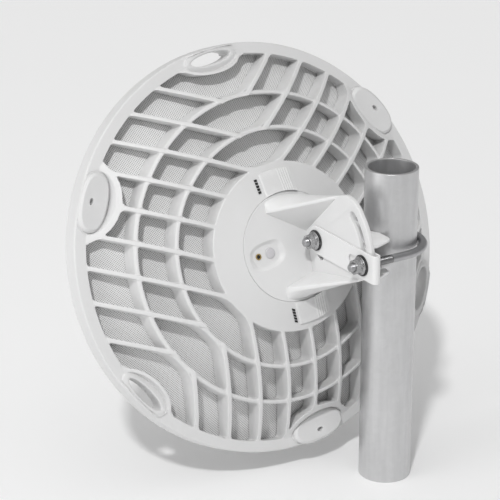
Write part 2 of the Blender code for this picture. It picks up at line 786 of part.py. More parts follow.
def build_jaw():
    """Channel with two toothed flanges that grip the pipe."""
    near = PLATE_FACE_X - PLATE_THICKNESS - 2.0 * GAP - STRIP_THICKNESS
    outline = jaw_outline(near)
    height = JAW_HALF_HEIGHT
    meshes = [box_mesh((near - JAW_WALL, -JAW_BACK_HALF_LENGTH, -height + 0.001),
                       (near, JAW_BACK_HALF_LENGTH, height - 0.001), "jaw_back")]
    for low in (-height, height - JAW_WALL):
        shape = layered_solid(outline, [], lambda x, y, z=low: z + JAW_WALL, lambda x, y, z=low: z)
        meshes.append(mesh_of(shape, "jaw_flange"))
    for mesh in meshes:
        mesh.transform(Matrix.Translation((0.0, 0.0, CLAMP_HEIGHT)))
    return meshes


def hub_block(direction, inner, outer, low, high, rise, name):
    """Low block that follows the hub's surface, its sides parallel to a direction."""
    limits = []
    for reach, order in ((inner, 1), (outer, -1)):
        line = []
        for step in range(7):
            across = low + (high - low) * step / 6.0
            line.append((math.sqrt(reach * reach - across * across), across))
        limits.extend(line[::order])
    outline = [(u * math.cos(direction) - v * math.sin(direction),
                u * math.sin(direction) + v * math.cos(direction)) for u, v in limits]

    def top(x, y):
        across = y * math.cos(direction) - x * math.sin(direction)
        return hub_surface(math.hypot(x, y)) + rise(across)

    def bottom(x, y):
        return hub_surface(math.hypot(x, y)) + GAP

    return to_head(mesh_of(layered_solid(outline, [], top, bottom), name))


def disc_at(radius, low, high, centre, steps, name, chamfer):
    """Round piece on the dish, off its axis."""
    mesh = mesh_of(cylinder(radius, low, high, steps, 0.0, chamfer), name)
    mesh.transform(Matrix.Translation((centre[0], centre[1], 0.0)))
    return to_head(mesh)


def build_tabs(head, plastic, black):
    """Latch tabs on the hub and the scale strips beside them."""
    for name, direction, low, high, strip in TABS:
        ramp_edge = low if name == "lower" else high

        def rise(across, edge=ramp_edge):
            share = min(abs(across - edge) / TAB_RAMP, 1.0)
            return 0.0008 + (TAB_HEIGHT - 0.0008) * share

        tab = hub_block(direction, TAB_INNER, TAB_OUTER, low, high, rise, "latch_tab_" + name)
        add_object("latch_tab_" + name, tab, plastic, head, False)
        centre = strip if name == "upper" else -strip
        scale = hub_block(direction, SCALE_RANGE[0], SCALE_RANGE[1], centre - SCALE_HALF_WIDTH,
                          centre + SCALE_HALF_WIDTH, lambda across: 0.0008, "scale_strip_" + name)
        add_object("scale_strip_" + name, scale, black, head, False)


def build_cap(angle, name):
    """Oval cap on a boss of the rim."""
    outline = oval_loop(angle, BOSS_CENTRE, (CAP_HALF[0] - 0.0018, CAP_HALF[1] - 0.0018), 36)
    crest = oval_loop(angle, BOSS_CENTRE, (CAP_HALF[0] - 0.0028, CAP_HALF[1] - 0.0028), 36)

    def top(x, y):
        inside = in_oval(x, y, angle, BOSS_CENTRE, (CAP_HALF[0] - 0.0023, CAP_HALF[1] - 0.0023))
        return CAP_SEAT + CAP_HEIGHT - (0.0 if inside else 0.0010)

    return to_head(mesh_of(layered_solid(outline, [], top, lambda x, y: CAP_SEAT + GAP, [crest]), name))


def build_feed(head, plastic):
    """Core inside the hub, feed tube and feed cap."""
    bore = FEED_TUBE_RADIUS + 0.0010
    back = DISC_BOTTOM - GAP
    core = revolve([(bore, back), (bore, CORE_FRONT[0]), (CORE_RADIUS - 0.006, CORE_FRONT[1]),
                    (CORE_RADIUS, CORE_FRONT[2]), (CORE_RADIUS, back)], 40)
    add_object("radio_core", to_head(mesh_of(core, "radio_core")), plastic, head)
    tube = cylinder(FEED_TUBE_RADIUS, FEED_JOIN, back - 0.0010, 24)
    add_object("feed_tube", to_head(mesh_of(tube, "feed_tube")), plastic, head)
    points = [(0.0, FEED_JOIN - GAP), (0.0, FEED_TIP), (FEED_CAP_RADIUS * 0.55, FEED_TIP),
              (FEED_CAP_RADIUS * 0.9, FEED_TIP + 0.006), (FEED_CAP_RADIUS, FEED_TIP + 0.014),
              (FEED_CAP_RADIUS, FEED_JOIN - 0.0050), (FEED_CAP_RADIUS - 0.003, FEED_JOIN - GAP)]
    add_object("feed_cap", to_head(mesh_of(revolve(points, 36), "feed_cap")), plastic, head)


def main():
    """Build the antenna."""
    clear_scene()
    plastic = material("white_plastic", (0.83, 0.84, 0.85), 0.38)
    sheet = material("white_sheet", (0.80, 0.81, 0.82), 0.45)
    steel = material("zinc_steel", (0.62, 0.63, 0.64), 0.32, 1.0)
    brass = material("brass", (0.55, 0.42, 0.20), 0.35, 1.0)
    black = material("black_print", (0.02, 0.02, 0.02), 0.5)
    pipe_finish = material("grey_pipe", (0.48, 0.49, 0.51), 0.35, 0.6)

    front_leg = -LEG_SPACING / 2.0
    head = bpy.data.objects.new("head_pivot", None)
    head.location = (0.0, front_leg + PIVOT_BEHIND_FRONT_LEG, CLAMP_HEIGHT)
    head.rotation_euler = (TILT_AT_REST, 0.0, 0.0)
    bpy.context.scene.collection.objects.link(head)

    add_object("rib_frame", build_rib_frame(), plastic, head, False)
    add_object("reflector_mesh", build_reflector(), sheet, head)
    join_solids("tilt_bracket", [build_disc(), build_plate(), build_web(1), build_web(-1)], plastic, head)
    build_feed(head, plastic)
    build_tabs(head, plastic, black)

    floor = DISC_TOP - RECESS_DEPTH + GAP
    add_object("disc_button", disc_at(BUTTON_RADIUS, floor, floor + 0.0014, BUTTON_CENTRE, 24,
                                      "disc_button", 0.0004), plastic, head)
    add_object("earth_screw", disc_at(SCREW_RADIUS, floor, floor + 0.0006, SCREW_CENTRE, 16,
                                      "earth_screw", 0.0003), brass, head)
    for name, angle in zip(("rim_cap_left", "rim_cap_lower", "rim_cap_upper"), BOSS_ANGLES):
        add_object(name, build_cap(angle, name), plastic, head)

    add_object("clamp_strip", build_strip(), plastic, None, False)
    join_solids("pole_jaw", build_jaw(), plastic, None)
    add_object("u_bolt", build_u_bolt(), steel)
    seat = PLATE_FACE_X + GAP + STRIP_THICKNESS + GAP
    for name, y in (("pivot", front_leg), ("slot", -front_leg)):
        ring = mesh_of(cylinder(WASHER_RADIUS, seat, seat + WASHER_HEIGHT, 28, LEG_RADIUS + GAP),
                       name + "_washer")
        add_object("washer_" + name, along_x(ring, y, CLAMP_HEIGHT), steel)
        nut = nut_mesh(seat + WASHER_HEIGHT + GAP)
        add_object("nut_" + name, along_x(nut, y, CLAMP_HEIGHT), steel)

    pipe = mesh_of(cylinder(PIPE_RADIUS, 0.0, PIPE_HEIGHT, 48, PIPE_RADIUS - PIPE_WALL), "pole")
    add_object("pole", pipe, pipe_finish)


main()
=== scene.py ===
"""Looks of a parabolic dish antenna on a pole clamp.

Lengths are in metres. The dish frame has x to the right seen from behind, y up and z
back from the front of the rim; the head frame is the bracket's own, about the tilt axis.
"""
from __future__ import annotations

import logging
from dataclasses import dataclass, field
from enum import Enum
from math import asin, ceil, copysign, cos, hypot, pi, radians, sin, sqrt, tan
from typing import Callable, Sequence

import bmesh
import bpy
from mathutils import Matrix, Vector
from mathutils.geometry import delaunay_2d_cdt
from mathutils.kdtree import KDTree


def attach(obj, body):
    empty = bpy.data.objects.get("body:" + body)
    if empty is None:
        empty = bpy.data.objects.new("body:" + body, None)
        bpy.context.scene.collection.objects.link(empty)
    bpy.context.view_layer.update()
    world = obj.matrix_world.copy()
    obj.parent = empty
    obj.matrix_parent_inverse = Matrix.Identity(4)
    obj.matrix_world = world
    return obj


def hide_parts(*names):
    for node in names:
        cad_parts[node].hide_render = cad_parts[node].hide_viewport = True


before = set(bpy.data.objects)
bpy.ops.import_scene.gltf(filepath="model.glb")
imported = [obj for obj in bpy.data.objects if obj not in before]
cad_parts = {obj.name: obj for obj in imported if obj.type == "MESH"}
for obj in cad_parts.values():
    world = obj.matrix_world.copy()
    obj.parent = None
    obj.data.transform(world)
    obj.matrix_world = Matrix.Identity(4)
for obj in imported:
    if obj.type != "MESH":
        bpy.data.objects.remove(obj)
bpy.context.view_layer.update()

LOG = logging.getLogger("dish")
Point = tuple[float, float]
Triple = tuple[float, float, float]
Loop = list[Point]
Curve = Callable[[float], float]
Field = Callable[[float, float], float]
Solid = bmesh.types.BMesh
Node = bpy.types.Node
Socket = bpy.types.NodeSocket
# Clearance between pieces that touch.
GAP = 0.0003
FLOAT = "NodeSocketFloat"
VECTOR = "NodeSocketVector"


class Body(Enum):
    """Moving groups of the object."""

    PIPE = "pipe"
    CLAMP = "clamp"
    HEAD = "head"


class Slot(Enum):
    """Material slots that each finish carries."""

    PLASTIC = "plastic"
    SHEET = "sheet"
    STEEL = "steel"
    PIPE = "pipe"
    BRASS = "brass"
    PRINT = "print"


class Leg(Enum):
    """Legs of the U-bolt, each with the side of the clamp that it lies on."""

    PIVOT = -1.0
    SLOT = 1.0


@dataclass(frozen=True)
class HeadPlace:
    """Where the tilting head stands at rest."""

    pivot: Triple = (0.0, -0.0120, 0.2426)
    tilt: float = radians(18.8)
    axis_x: float = 0.0741
    pivot_depth: float = 0.12254
    pivot_below_axis: float = 0.00606

    def head(self) -> Matrix:
        """Matrix from the head frame to the world."""
        return Matrix.Translation(self.pivot) @ Matrix.Rotation(self.tilt, 4, "X")

    def dish(self) -> Matrix:
        """Matrix from the dish frame to the world."""
        turn = Matrix(((-1.0, 0.0, 0.0, self.axis_x), (0.0, 0.0, 1.0, -self.pivot_depth),
                       (0.0, 1.0, 0.0, self.pivot_below_axis), (0.0, 0.0, 0.0, 1.0)))
        return self.head() @ turn


PLACE = HeadPlace()


def put(name: str, data: bpy.types.ID) -> bpy.types.Object:
    """Put an object with its data in the scene."""
    made = bpy.data.objects.new(name, data)
    bpy.context.scene.collection.objects.link(made)
    return made


def look_at(thing: bpy.types.Object, place: Triple, aim: Triple) -> None:
    """Set a light or a camera at a place, looking at a point."""
    thing.location = place
    thing.rotation_euler = (Vector(aim) - Vector(place)).to_track_quat("-Z", "Y").to_euler()


class Shapes:
    """Mesh makers shared by all sub-assemblies."""

    @staticmethod
    def finish(shape: Solid, name: str, sharp: float = 32.0) -> bpy.types.Mesh:
        """Turn a bmesh into a smooth-shaded mesh with its faces pointing out.

        Args:
            shape: The closed shape, freed here.
            name: Name of the mesh.
            sharp: Angle in degrees above which an edge stays crisp.

        Returns:
            The mesh.
        """
        bmesh.ops.recalc_face_normals(shape, faces=shape.faces)
        if shape.calc_volume(signed=True) < 0.0:
            bmesh.ops.reverse_faces(shape, faces=shape.faces)
        made = bpy.data.meshes.new(name)
        shape.to_mesh(made)
        shape.free()
        made.shade_smooth()
        made.set_sharp_from_angle(angle=radians(sharp))
        return made

    @staticmethod
    def arc(radius: float, start: float, end: float, steps: int, centre: Point = (0.0, 0.0)) -> Loop:
        """Points on an arc.

        Args:
            radius: Radius of the arc.
            start: Angle of the first point.
            end: Angle of the last point.
            steps: Number of steps between them.
            centre: Centre of the arc.

        Returns:
            The points, both ends included.
        """
        made = []
        for step in range(steps + 1):
            angle = start + (end - start) * step / steps
            made.append((centre[0] + radius * cos(angle), centre[1] + radius * sin(angle)))
        return made

    @classmethod
    def circle(cls, radius: float, steps: int, centre: Point = (0.0, 0.0)) -> Loop:
        """Points of a closed circle."""
        return cls.arc(radius, 0.0, 2.0 * pi, steps, centre)[:-1]

    @staticmethod
    def counter_clockwise(loop: Loop) -> Loop:
        """The loop's points, in counter-clockwise order."""
        area = 0.0
        for index, point in enumerate(loop):
            before = loop[index - 1]
            area += before[0] * point[1] - point[0] * before[1]
        return list(loop) if area > 0.0 else list(reversed(loop))

    @classmethod
    def layered(cls, outline: Loop, holes: Sequence[Loop], top: Field,
                bottom: Field, loops: Sequence[Loop] = (),
                lines: Sequence[Loop] = ()) -> Solid:
        """Solid between two surfaces over a flat region with holes.

        Args:
            outline: Outer edge of the region.
            holes: Edges of its holes.
            top: Height of the upper surface at a point.
            bottom: Height of the lower surface at a point.
            loops: Closed loops inside along which both surfaces get points.
            lines: Open lines inside along which both surfaces get points.

        Returns:
            The closed shape.
        """
        points: list[Vector] = []
        faces: list[list[int]] = []
        edges: list[tuple[int, int]] = []
        for loop in [cls.counter_clockwise(loop) for loop in [outline, *holes]]:
            start = len(points)
            points.extend(Vector(point) for point in loop)
            faces.append(list(range(start, start + len(loop))))
        for chain, closed in [(c, 1) for c in loops] + [(c, 0) for c in lines]:
            start = len(points)
            points.extend(Vector(point) for point in chain)
            count = len(chain)
            edges.extend((start + i, start + (i + 1) % count) for i in range(count - 1 + closed))
        verts, _, triangles, _, _, sources = delaunay_2d_cdt(points, edges, faces, 1, 1e-7)
        shape = bmesh.new()
        uppers = [shape.verts.new((v.x, v.y, top(v.x, v.y))) for v in verts]
        lowers = [shape.verts.new((v.x, v.y, bottom(v.x, v.y))) for v in verts]
        rims: dict[tuple[int, int], bool] = {}
        for triangle, source in zip(triangles, sources):
            if any(origin > 0 for origin in source) or not source:
                continue
            shape.faces.new([uppers[i] for i in triangle])
            shape.faces.new([lowers[i] for i in reversed(triangle)])
            for index, start in enumerate(triangle):
                end = triangle[(index + 1) % len(triangle)]
                if (end, start) in rims:
                    del rims[(end, start)]
                else:
                    rims[(start, end)] = True
        for start, end in rims:
            shape.faces.new((uppers[end], uppers[start], lowers[start], lowers[end]))
        loose = [v for v in shape.verts if not v.link_faces]
        bmesh.ops.delete(shape, geom=loose, context="VERTS")
        return shape

    @staticmethod
    def bridge(shape: Solid, rings: Sequence[Sequence[bmesh.types.BMVert]],
               closed: bool = False) -> None:
        """Join successive rings of vertices with quads.

        Args:
            shape: The bmesh that holds the rings.
            rings: Rings with equal numbers of vertices.
            closed: Whether the last ring joins the first.
        """
        pairs = list(zip(rings, rings[1:]))
        if closed:
            pairs.append((rings[-1], rings[0]))
        for first, second in pairs:
            count = len(first)
            for side in range(count):
                after = (side + 1) % count
                shape.faces.new((first[side], first[after], second[after], second[side]))

    @classmethod
    def revolve(cls, profile: Sequence[Point], steps: int,
                reach: Callable[[float, float, float], float] | None = None) -> Solid:
        """Turn a closed outline of (radius, height) points about Z.

        Args:
            profile: The outline; none of its points lies on the axis.
            steps: Number of steps round the axis.
            reach: Changes a radius, from the radius, the height and the angle.

        Returns:
            The closed shape.
        """
        shape = bmesh.new()
        rings = []
        for radius, height in profile:
            ring = []
            for step in range(steps):
                angle = 2.0 * pi * step / steps
                far = reach(radius, height, angle) if reach else radius
                ring.append(shape.verts.new((far * cos(angle), far * sin(angle), height)))
            rings.append(ring)
        cls.bridge(shape, rings, closed=True)
        return shape

    @classmethod
    def turned(cls, profile: Sequence[Point], steps: int) -> Solid:
        """Turn an open outline that starts and ends on the axis about Z."""
        shape = bmesh.new()
        rings = []
        for radius, height in profile[1:-1]:
            rings.append([shape.verts.new((x, y, height)) for x, y in cls.circle(radius, steps)])
        cls.bridge(shape, rings)
        for (_, height), ring in ((profile[0], rings[0]), (profile[-1], rings[-1])):
            middle = shape.verts.new((0.0, 0.0, height))
            for side in range(steps):
                shape.faces.new((middle, ring[side], ring[(side + 1) % steps]))
        return shape

    @classmethod
    def lofted(cls, sections: Sequence[Sequence[Vector | Triple]]) -> Solid:
        """Solid through a row of sections with equal numbers of points, closed at both ends."""
        shape = bmesh.new()
        rings = [[shape.verts.new(point) for point in section] for section in sections]
        cls.bridge(shape, rings)
        shape.faces.new(rings[0][::-1])
        shape.faces.new(rings[-1])
        return shape

    @staticmethod
    def rounded(profile: Sequence[Triple], steps: int = 3) -> list[Point]:
        """Round the corners of a closed profile.

        Args:
            profile: Points as (x, y, corner size).
            steps: Steps in each corner.

        Returns:
            The points with each corner replaced by a curve.
        """
        made: list[Point] = []
        count = len(profile)
        for index, (x, y, size) in enumerate(profile):
            corner = Vector((x, y))
            if size <= 0.0:
                made.append((x, y))
                continue
            before = Vector(profile[index - 1][:2]) - corner
            after = Vector(profile[(index + 1) % count][:2]) - corner
            start = corner + before.normalized() * min(size, before.length * 0.49)
            end = corner + after.normalized() * min(size, after.length * 0.49)
            for step in range(steps + 1):
                t = step / steps
                point = start * (1 - t) ** 2 + corner * 2 * t * (1 - t) + end * t * t
                made.append((point.x, point.y))
        return made

    @staticmethod
    def slab(outline: Loop, holes: Sequence[Loop], thickness: float, edge: float) -> Solid:
        """Flat plate with rounded edges, its middle plane at zero height.

        Args:
            outline: Outer edge.
            holes: Edges of its holes.
            thickness: Thickness of the plate.
            edge: Radius of its rounded edges.

        Returns:
            The closed shape.
        """
        curve = bpy.data.curves.new("slab", "CURVE")
        curve.dimensions = "2D"
        curve.fill_mode = "BOTH"
        curve.extrude = thickness / 2.0 - edge
        curve.bevel_depth = edge
        curve.bevel_resolution = 2
        curve.offset = -edge
        for loop in [outline, *holes]:
            spline = curve.splines.new("POLY")
            spline.points.add(len(loop) - 1)
            for point, (x, y) in zip(spline.points, loop):
                point.co = (x, y, 0.0, 1.0)
            spline.use_cyclic_u = True
        holder = put("slab", curve)
        evaluated = holder.evaluated_get(bpy.context.evaluated_depsgraph_get())
        flat = bpy.data.meshes.new_from_object(evaluated)
        bpy.data.objects.remove(holder, do_unlink=True)
        bpy.data.curves.remove(curve)
        shape = bmesh.new()
        shape.from_mesh(flat)
        bpy.data.meshes.remove(flat)
        bmesh.ops.remove_doubles(shape, verts=shape.verts, dist=1e-6)
        return shape


class Effects:
    """Shader node groups that several finishes share, each built once."""

    _made: dict[str, bpy.types.NodeTree] = {}

    @classmethod
    def group(cls, name: str, inputs: Sequence[tuple[str, str, object]], outputs: Sequence[tuple[str, str]],
              fill: Callable[["Wiring", Node, Node], None]) -> bpy.types.NodeTree:
        """Make a node group once.

        Args:
            name: Name of the group.
            inputs: Its inputs, as (name, socket type, default).
            outputs: Its outputs, as (name, socket type).
            fill: Fills the group between its input and output nodes.

        Returns:
            The group.
        """
        if name in cls._made:
            return cls._made[name]
        tree = bpy.data.node_groups.new(name, "ShaderNodeTree")
        for label, kind, default in inputs:
            socket = tree.interface.new_socket(name=label, in_out="INPUT", socket_type=kind)
            socket.default_value = default
        for label, kind in outputs:
            tree.interface.new_socket(name=label, in_out="OUTPUT", socket_type=kind)
        wiring = Wiring(tree)
        fill(wiring, wiring.node("NodeGroupInput"), wiring.node("NodeGroupOutput"))
        cls._made[name] = tree
        return tree

    @classmethod
    def grain(cls) -> bpy.types.NodeTree:
        """Moulded grain with a slow drift of tone over it."""
        def fill(wiring: Wiring, source: Node, sink: Node) -> None:
            """Wire the group."""
            place = wiring.node("ShaderNodeTexCoord").outputs["Object"]
            fine = wiring.noise(place, source.outputs["Grain Scale"], 3.0)
            slow = wiring.noise(place, source.outputs["Drift Scale"], 4.0)
            wiring.link(fine, sink.inputs["Height"])
            tone = wiring.maths("MULTIPLY_ADD", slow, source.outputs["Drift"], 1.0)
            half = wiring.maths("MULTIPLY", source.outputs["Drift"], 0.5)
            wiring.link(wiring.maths("SUBTRACT", tone, half), sink.inputs["Tone"])

        return cls.group("Moulded grain", (("Grain Scale", FLOAT, 2200.0),
                                           ("Drift Scale", FLOAT, 22.0),
                                           ("Drift", FLOAT, 0.05)),
                         (("Height", FLOAT), ("Tone", FLOAT)), fill)

    @classmethod
    def dust(cls) -> bpy.types.NodeTree:
        """Fine dust that settles on faces that look up, in soft patches."""
        def fill(wiring: Wiring, source: Node, sink: Node) -> None:
            """Wire the group."""
            shape = wiring.node("ShaderNodeNewGeometry")
            split = wiring.node("ShaderNodeSeparateXYZ")
            wiring.link(shape.outputs["Normal"], split.inputs[0])
            facing = wiring.spread(split.outputs["Z"], 0.35, 1.0)
            place = wiring.node("ShaderNodeTexCoord").outputs["Object"]
            patches = wiring.spread(wiring.noise(place, source.outputs["Patch Scale"], 5.0), 0.35, 0.75)
            both = wiring.maths("MULTIPLY", facing, patches)
            wiring.link(wiring.maths("MULTIPLY", both, source.outputs["Amount"]), sink.inputs["Mask"])

        return cls.group("Settled dust", (("Amount", FLOAT, 0.3),
                                          ("Patch Scale", FLOAT, 60.0)),
                         (("Mask", FLOAT),), fill)

    @classmethod
    def wear(cls) -> bpy.types.NodeTree:
        """Mask of edges that handling has polished, broken up by noise."""
        def fill(wiring: Wiring, source: Node, sink: Node) -> None:
            """Wire the group."""
            shape = wiring.node("ShaderNodeNewGeometry")
            edges = wiring.spread(shape.outputs["Pointiness"], 0.52, 0.60)
            place = wiring.node("ShaderNodeTexCoord").outputs["Object"]
            broken = wiring.spread(wiring.noise(place, source.outputs["Break Scale"], 4.0), 0.30, 0.62)
            both = wiring.maths("MULTIPLY", edges, broken)
            wiring.link(wiring.maths("MULTIPLY", both, source.outputs["Amount"]), sink.inputs["Mask"])

        return cls.group("Edge wear", (("Amount", FLOAT, 0.4),
                                       ("Break Scale", FLOAT, 180.0)),
                         (("Mask", FLOAT),), fill)

    @classmethod
    def perforation(cls) -> bpy.types.NodeTree:
        """Square pattern of small round holes, laid out along two directions."""
        def fill(wiring: Wiring, source: Node, sink: Node) -> None:
            """Wire the group."""
            place = wiring.node("ShaderNodeTexCoord").outputs["Object"]
            squares = []
            for way in ("Across", "Up"):
                reach = wiring.dot(place, source.outputs[way])
                cells = wiring.maths("DIVIDE", reach, source.outputs["Pitch"])
                part = wiring.maths("SUBTRACT", wiring.maths("FRACT", cells, 0.0), 0.5)
                squares.append(wiring.maths("MULTIPLY", part, part))
            away = wiring.maths("SQRT", wiring.maths("ADD", squares[0], squares[1]), 0.0)
            inside = wiring.maths("SUBTRACT", source.outputs["Hole"], away)
            hole = wiring.spread(inside, -0.03, 0.05)
            wiring.link(hole, sink.inputs["Hole"])
            wiring.link(wiring.maths("SUBTRACT", 1.0, hole), sink.inputs["Height"])

        return cls.group("Perforation", (("Across", VECTOR, (1.0, 0.0, 0.0)),
                                         ("Up", VECTOR, (0.0, 0.0, 1.0)),
                                         ("Pitch", FLOAT, 0.0017),
                                         ("Hole", FLOAT, 0.3)),
                         (("Hole", FLOAT), ("Height", FLOAT)), fill)


class Wiring:
    """Short ways to add and link shader nodes in a tree."""

    def __init__(self, tree: bpy.types.NodeTree) -> None:
        """Keep the tree."""
        self.tree = tree

    def node(self, kind: str) -> Node:
        """Add a node."""
        return self.tree.nodes.new(kind)

    def link(self, source: object, target: Socket) -> None:
        """Feed a socket from another socket, or set it to a value."""
        if isinstance(source, Socket):
            self.tree.links.new(source, target)
        else:
            target.default_value = source

    def maths(self, operation: str, first: object, second: object, third: object = None) -> Socket:
        """Add a Math node.

        Args:
            operation: The node's operation.
            first: Its first value or socket.
            second: Its second value or socket.
            third: Its third value or socket, if it takes one.

        Returns:
            The result's socket.
        """
        made = self.node("ShaderNodeMath")
        made.operation = operation
        for socket, source in zip(made.inputs, (first, second, third)):
            if source is not None:
                self.link(source, socket)
        return made.outputs[0]

    def dot(self, first: object, second: object) -> Socket:
        """Dot product of two vectors."""
        made = self.node("ShaderNodeVectorMath")
        made.operation = "DOT_PRODUCT"
        self.link(first, made.inputs[0])
        self.link(second, made.inputs[1])
        return made.outputs["Value"]

    def noise(self, place: object, scale: object, detail: float) -> Socket:
        """Noise over the surface.

        Args:
            place: Coordinates.
            scale: Scale of the noise.
            detail: Number of finer layers.

        Returns:
            The noise's value.
        """
        made = self.node("ShaderNodeTexNoise")
        self.link(place, made.inputs["Vector"])
        self.link(scale, made.inputs["Scale"])
        made.inputs["Detail"].default_value = detail
        return made.outputs["Fac"]

    def spread(self, value: object, low: float, high: float, start: float = 0.0,
               end: float = 1.0) -> Socket:
        """Map a range of a value to another range, clamped.

        Args:
            value: The value's socket.
            low: Value that gives the start.
            high: Value that gives the end.
            start: Result at low.
            end: Result at high.

        Returns:
            The mapped value.
        """
        made = self.node("ShaderNodeMapRange")
        self.link(value, made.inputs["Value"])
        for label, number in (("From Min", low), ("From Max", high), ("To Min", start), ("To Max", end)):
            made.inputs[label].default_value = number
        return made.outputs["Result"]

    def mix(self, share: object, first: object, second: object) -> Socket:
        """Mix two colours.

        Args:
            share: Share of the second colour.
            first: Colour or socket.
            second: Colour or socket.

        Returns:
            The mixed colour.
        """
        made = self.node("ShaderNodeMix")
        made.data_type = "RGBA"
        self.link(share, made.inputs["Factor"])
        for socket, colour in ((made.inputs[6], first), (made.inputs[7], second)):
            self.link((*colour, 1.0) if isinstance(colour, tuple) else colour, socket)
        return made.outputs[2]

    def shade(self, colour: object, tone: Socket) -> Socket:
        """Multiply a colour by a tone."""
        scaled = self.node("ShaderNodeVectorMath")
        scaled.operation = "SCALE"
        self.link(colour, scaled.inputs[0])
        self.link(tone, scaled.inputs["Scale"])
        return scaled.outputs["Vector"]

    def bump(self, height: Socket, distance: float, strength: float,
             under: Socket | None = None) -> Socket:
        """Turn a height into a normal.

        Args:
            height: The height's socket.
            distance: Depth of a height of one.
            strength: Strength of the effect.
            under: Normal that it is laid over.

        Returns:
            The normal.
        """
        made = self.node("ShaderNodeBump")
        made.inputs["Strength"].default_value = strength
        made.inputs["Distance"].default_value = distance
        self.link(height, made.inputs["Height"])
        if under is not None:
            self.link(under, made.inputs["Normal"])
        return made.outputs["Normal"]

    def use(self, tree: bpy.types.NodeTree, **values: object) -> Node:
        """Place a node group, its inputs set by name with spaces as underscores."""
        made = self.node("ShaderNodeGroup")
        made.node_tree = tree
        for label, value in values.items():
            self.link(value, made.inputs[label.replace("_", " ")])
        return made


@dataclass(frozen=True)
class Finish:
    """A finish that makes its material once."""

    label: str
    colour: Triple
    roughness: float
    slot: Slot = Slot.PLASTIC

    def material(self) -> bpy.types.Material:
        """The finish's material, made on first use."""
        made = bpy.data.materials.get(self.label)
        if made is None:
            made = bpy.data.materials.new(self.label)
            made.use_nodes = True
            made.diffuse_color = (*self.colour, 1.0)
            shader = made.node_tree.nodes["Principled BSDF"]
            self.wire(Wiring(made.node_tree), shader)
        return made

    def wire(self, wiring: Wiring, shader: Node) -> None:
        """Wire the finish's surface; each kind of finish has its own."""
        raise NotImplementedError


GRAIN_DEPTH = 0.0001


@dataclass(frozen=True)
class MouldedPlastic(Finish):
    """Satin moulded plastic with fine grain, dust on top and polished edges."""

    grain: float = 0.12
    dust: float = 0.35
    wear: float = 0.35
    drift: float = 0.045
    dust_colour: Triple = (0.52, 0.51, 0.48)
    worn_colour: Triple = (0.90, 0.90, 0.90)
    dulled_by_dust: float = 0.35
    polished_by_wear: float = 0.12
    dulled_by_grain: float = 0.08
    sheen: float = 0.45

    def wire(self, wiring: Wiring, shader: Node) -> None:
        """Wire the plastic."""
        grain = wiring.use(Effects.grain(), Grain_Scale=2400.0, Drift_Scale=18.0, Drift=self.drift)
        dust = wiring.use(Effects.dust(), Amount=self.dust, Patch_Scale=55.0).outputs["Mask"]
        wear = wiring.use(Effects.wear(), Amount=self.wear, Break_Scale=170.0).outputs["Mask"]
        toned = wiring.shade(self.colour, grain.outputs["Tone"])
        dusty = wiring.mix(dust, toned, self.dust_colour)
        wiring.link(wiring.mix(wear, dusty, self.worn_colour), shader.inputs["Base Color"])
        matt = wiring.maths("MULTIPLY_ADD", dust, self.dulled_by_dust, self.roughness)
        rough = wiring.maths("MULTIPLY_ADD", wear, -self.polished_by_wear, matt)
        fine = wiring.maths("MULTIPLY_ADD", grain.outputs["Height"], self.dulled_by_grain, rough)
        wiring.link(fine, shader.inputs["Roughness"])
        wiring.link(wiring.bump(grain.outputs["Height"], GRAIN_DEPTH, self.grain), shader.inputs["Normal"])
        shader.inputs["Specular IOR Level"].default_value = self.sheen


@dataclass(frozen=True)
class PerforatedSheet(Finish):
    """Painted sheet with a fine pattern of round holes, each hole coloured dark as painted shade."""

    pitch: float = 0.0016
    hole: float = 0.28
    hole_shade_colour: Triple = (0.28, 0.28, 0.28)
    hole_depth: float = 0.0003
    hole_strength: float = 0.35
    dulled_by_holes: float = 0.3
    dust_colour: Triple = (0.50, 0.49, 0.46)

    def wire(self, wiring: Wiring, shader: Node) -> None:
        """Wire the sheet, its rows of holes at 45 degrees to the dish."""
        grain = wiring.use(Effects.grain(), Grain_Scale=1500.0, Drift_Scale=26.0, Drift=0.05)
        across, up, _ = PLACE.dish().to_3x3().col
        holes = wiring.use(Effects.perforation(), Across=tuple((across + up).normalized()),
                           Up=tuple((up - across).normalized()), Pitch=self.pitch, Hole=self.hole)
        dust = wiring.use(Effects.dust(), Amount=0.30, Patch_Scale=40.0).outputs["Mask"]
        toned = wiring.mix(dust, wiring.shade(self.colour, grain.outputs["Tone"]), self.dust_colour)
        # Each hole gets a dark colour: painted shade for what is seen in and through it.
        wiring.link(wiring.mix(holes.outputs["Hole"], toned, self.hole_shade_colour), shader.inputs["Base Color"])
        rough = wiring.maths("MULTIPLY_ADD", holes.outputs["Hole"], self.dulled_by_holes, self.roughness)
        wiring.link(rough, shader.inputs["Roughness"])
        normal = wiring.bump(holes.outputs["Height"], self.hole_depth, self.hole_strength)
        wiring.link(normal, shader.inputs["Normal"])


@dataclass(frozen=True)
class PlatedSteel(Finish):
    """Zinc-plated steel: cloudy tone, fine drawing lines and rubbed edges."""

    cloud: float = 0.30
    lines: float = 0.20
    worn_colour: Triple = (0.80, 0.80, 0.80)
    dulled_by_grain: float = 0.22
    polish: float = 0.08

    def wire(self, wiring: Wiring, shader: Node) -> None:
        """Wire the plating."""
        grain = wiring.use(Effects.grain(), Grain_Scale=900.0, Drift_Scale=70.0, Drift=self.cloud)
        wear = wiring.use(Effects.wear(), Amount=0.7, Break_Scale=260.0).outputs["Mask"]
        toned = wiring.shade(self.colour, grain.outputs["Tone"])
        wiring.link(wiring.mix(wear, toned, self.worn_colour), shader.inputs["Base Color"])
        cloudy = wiring.maths("MULTIPLY_ADD", grain.outputs["Height"], self.dulled_by_grain,
                              self.roughness - self.polish)
        wiring.link(cloudy, shader.inputs["Roughness"])
        wiring.link(wiring.bump(grain.outputs["Height"], GRAIN_DEPTH, self.lines), shader.inputs["Normal"])
        shader.inputs["Metallic"].default_value = 1.0


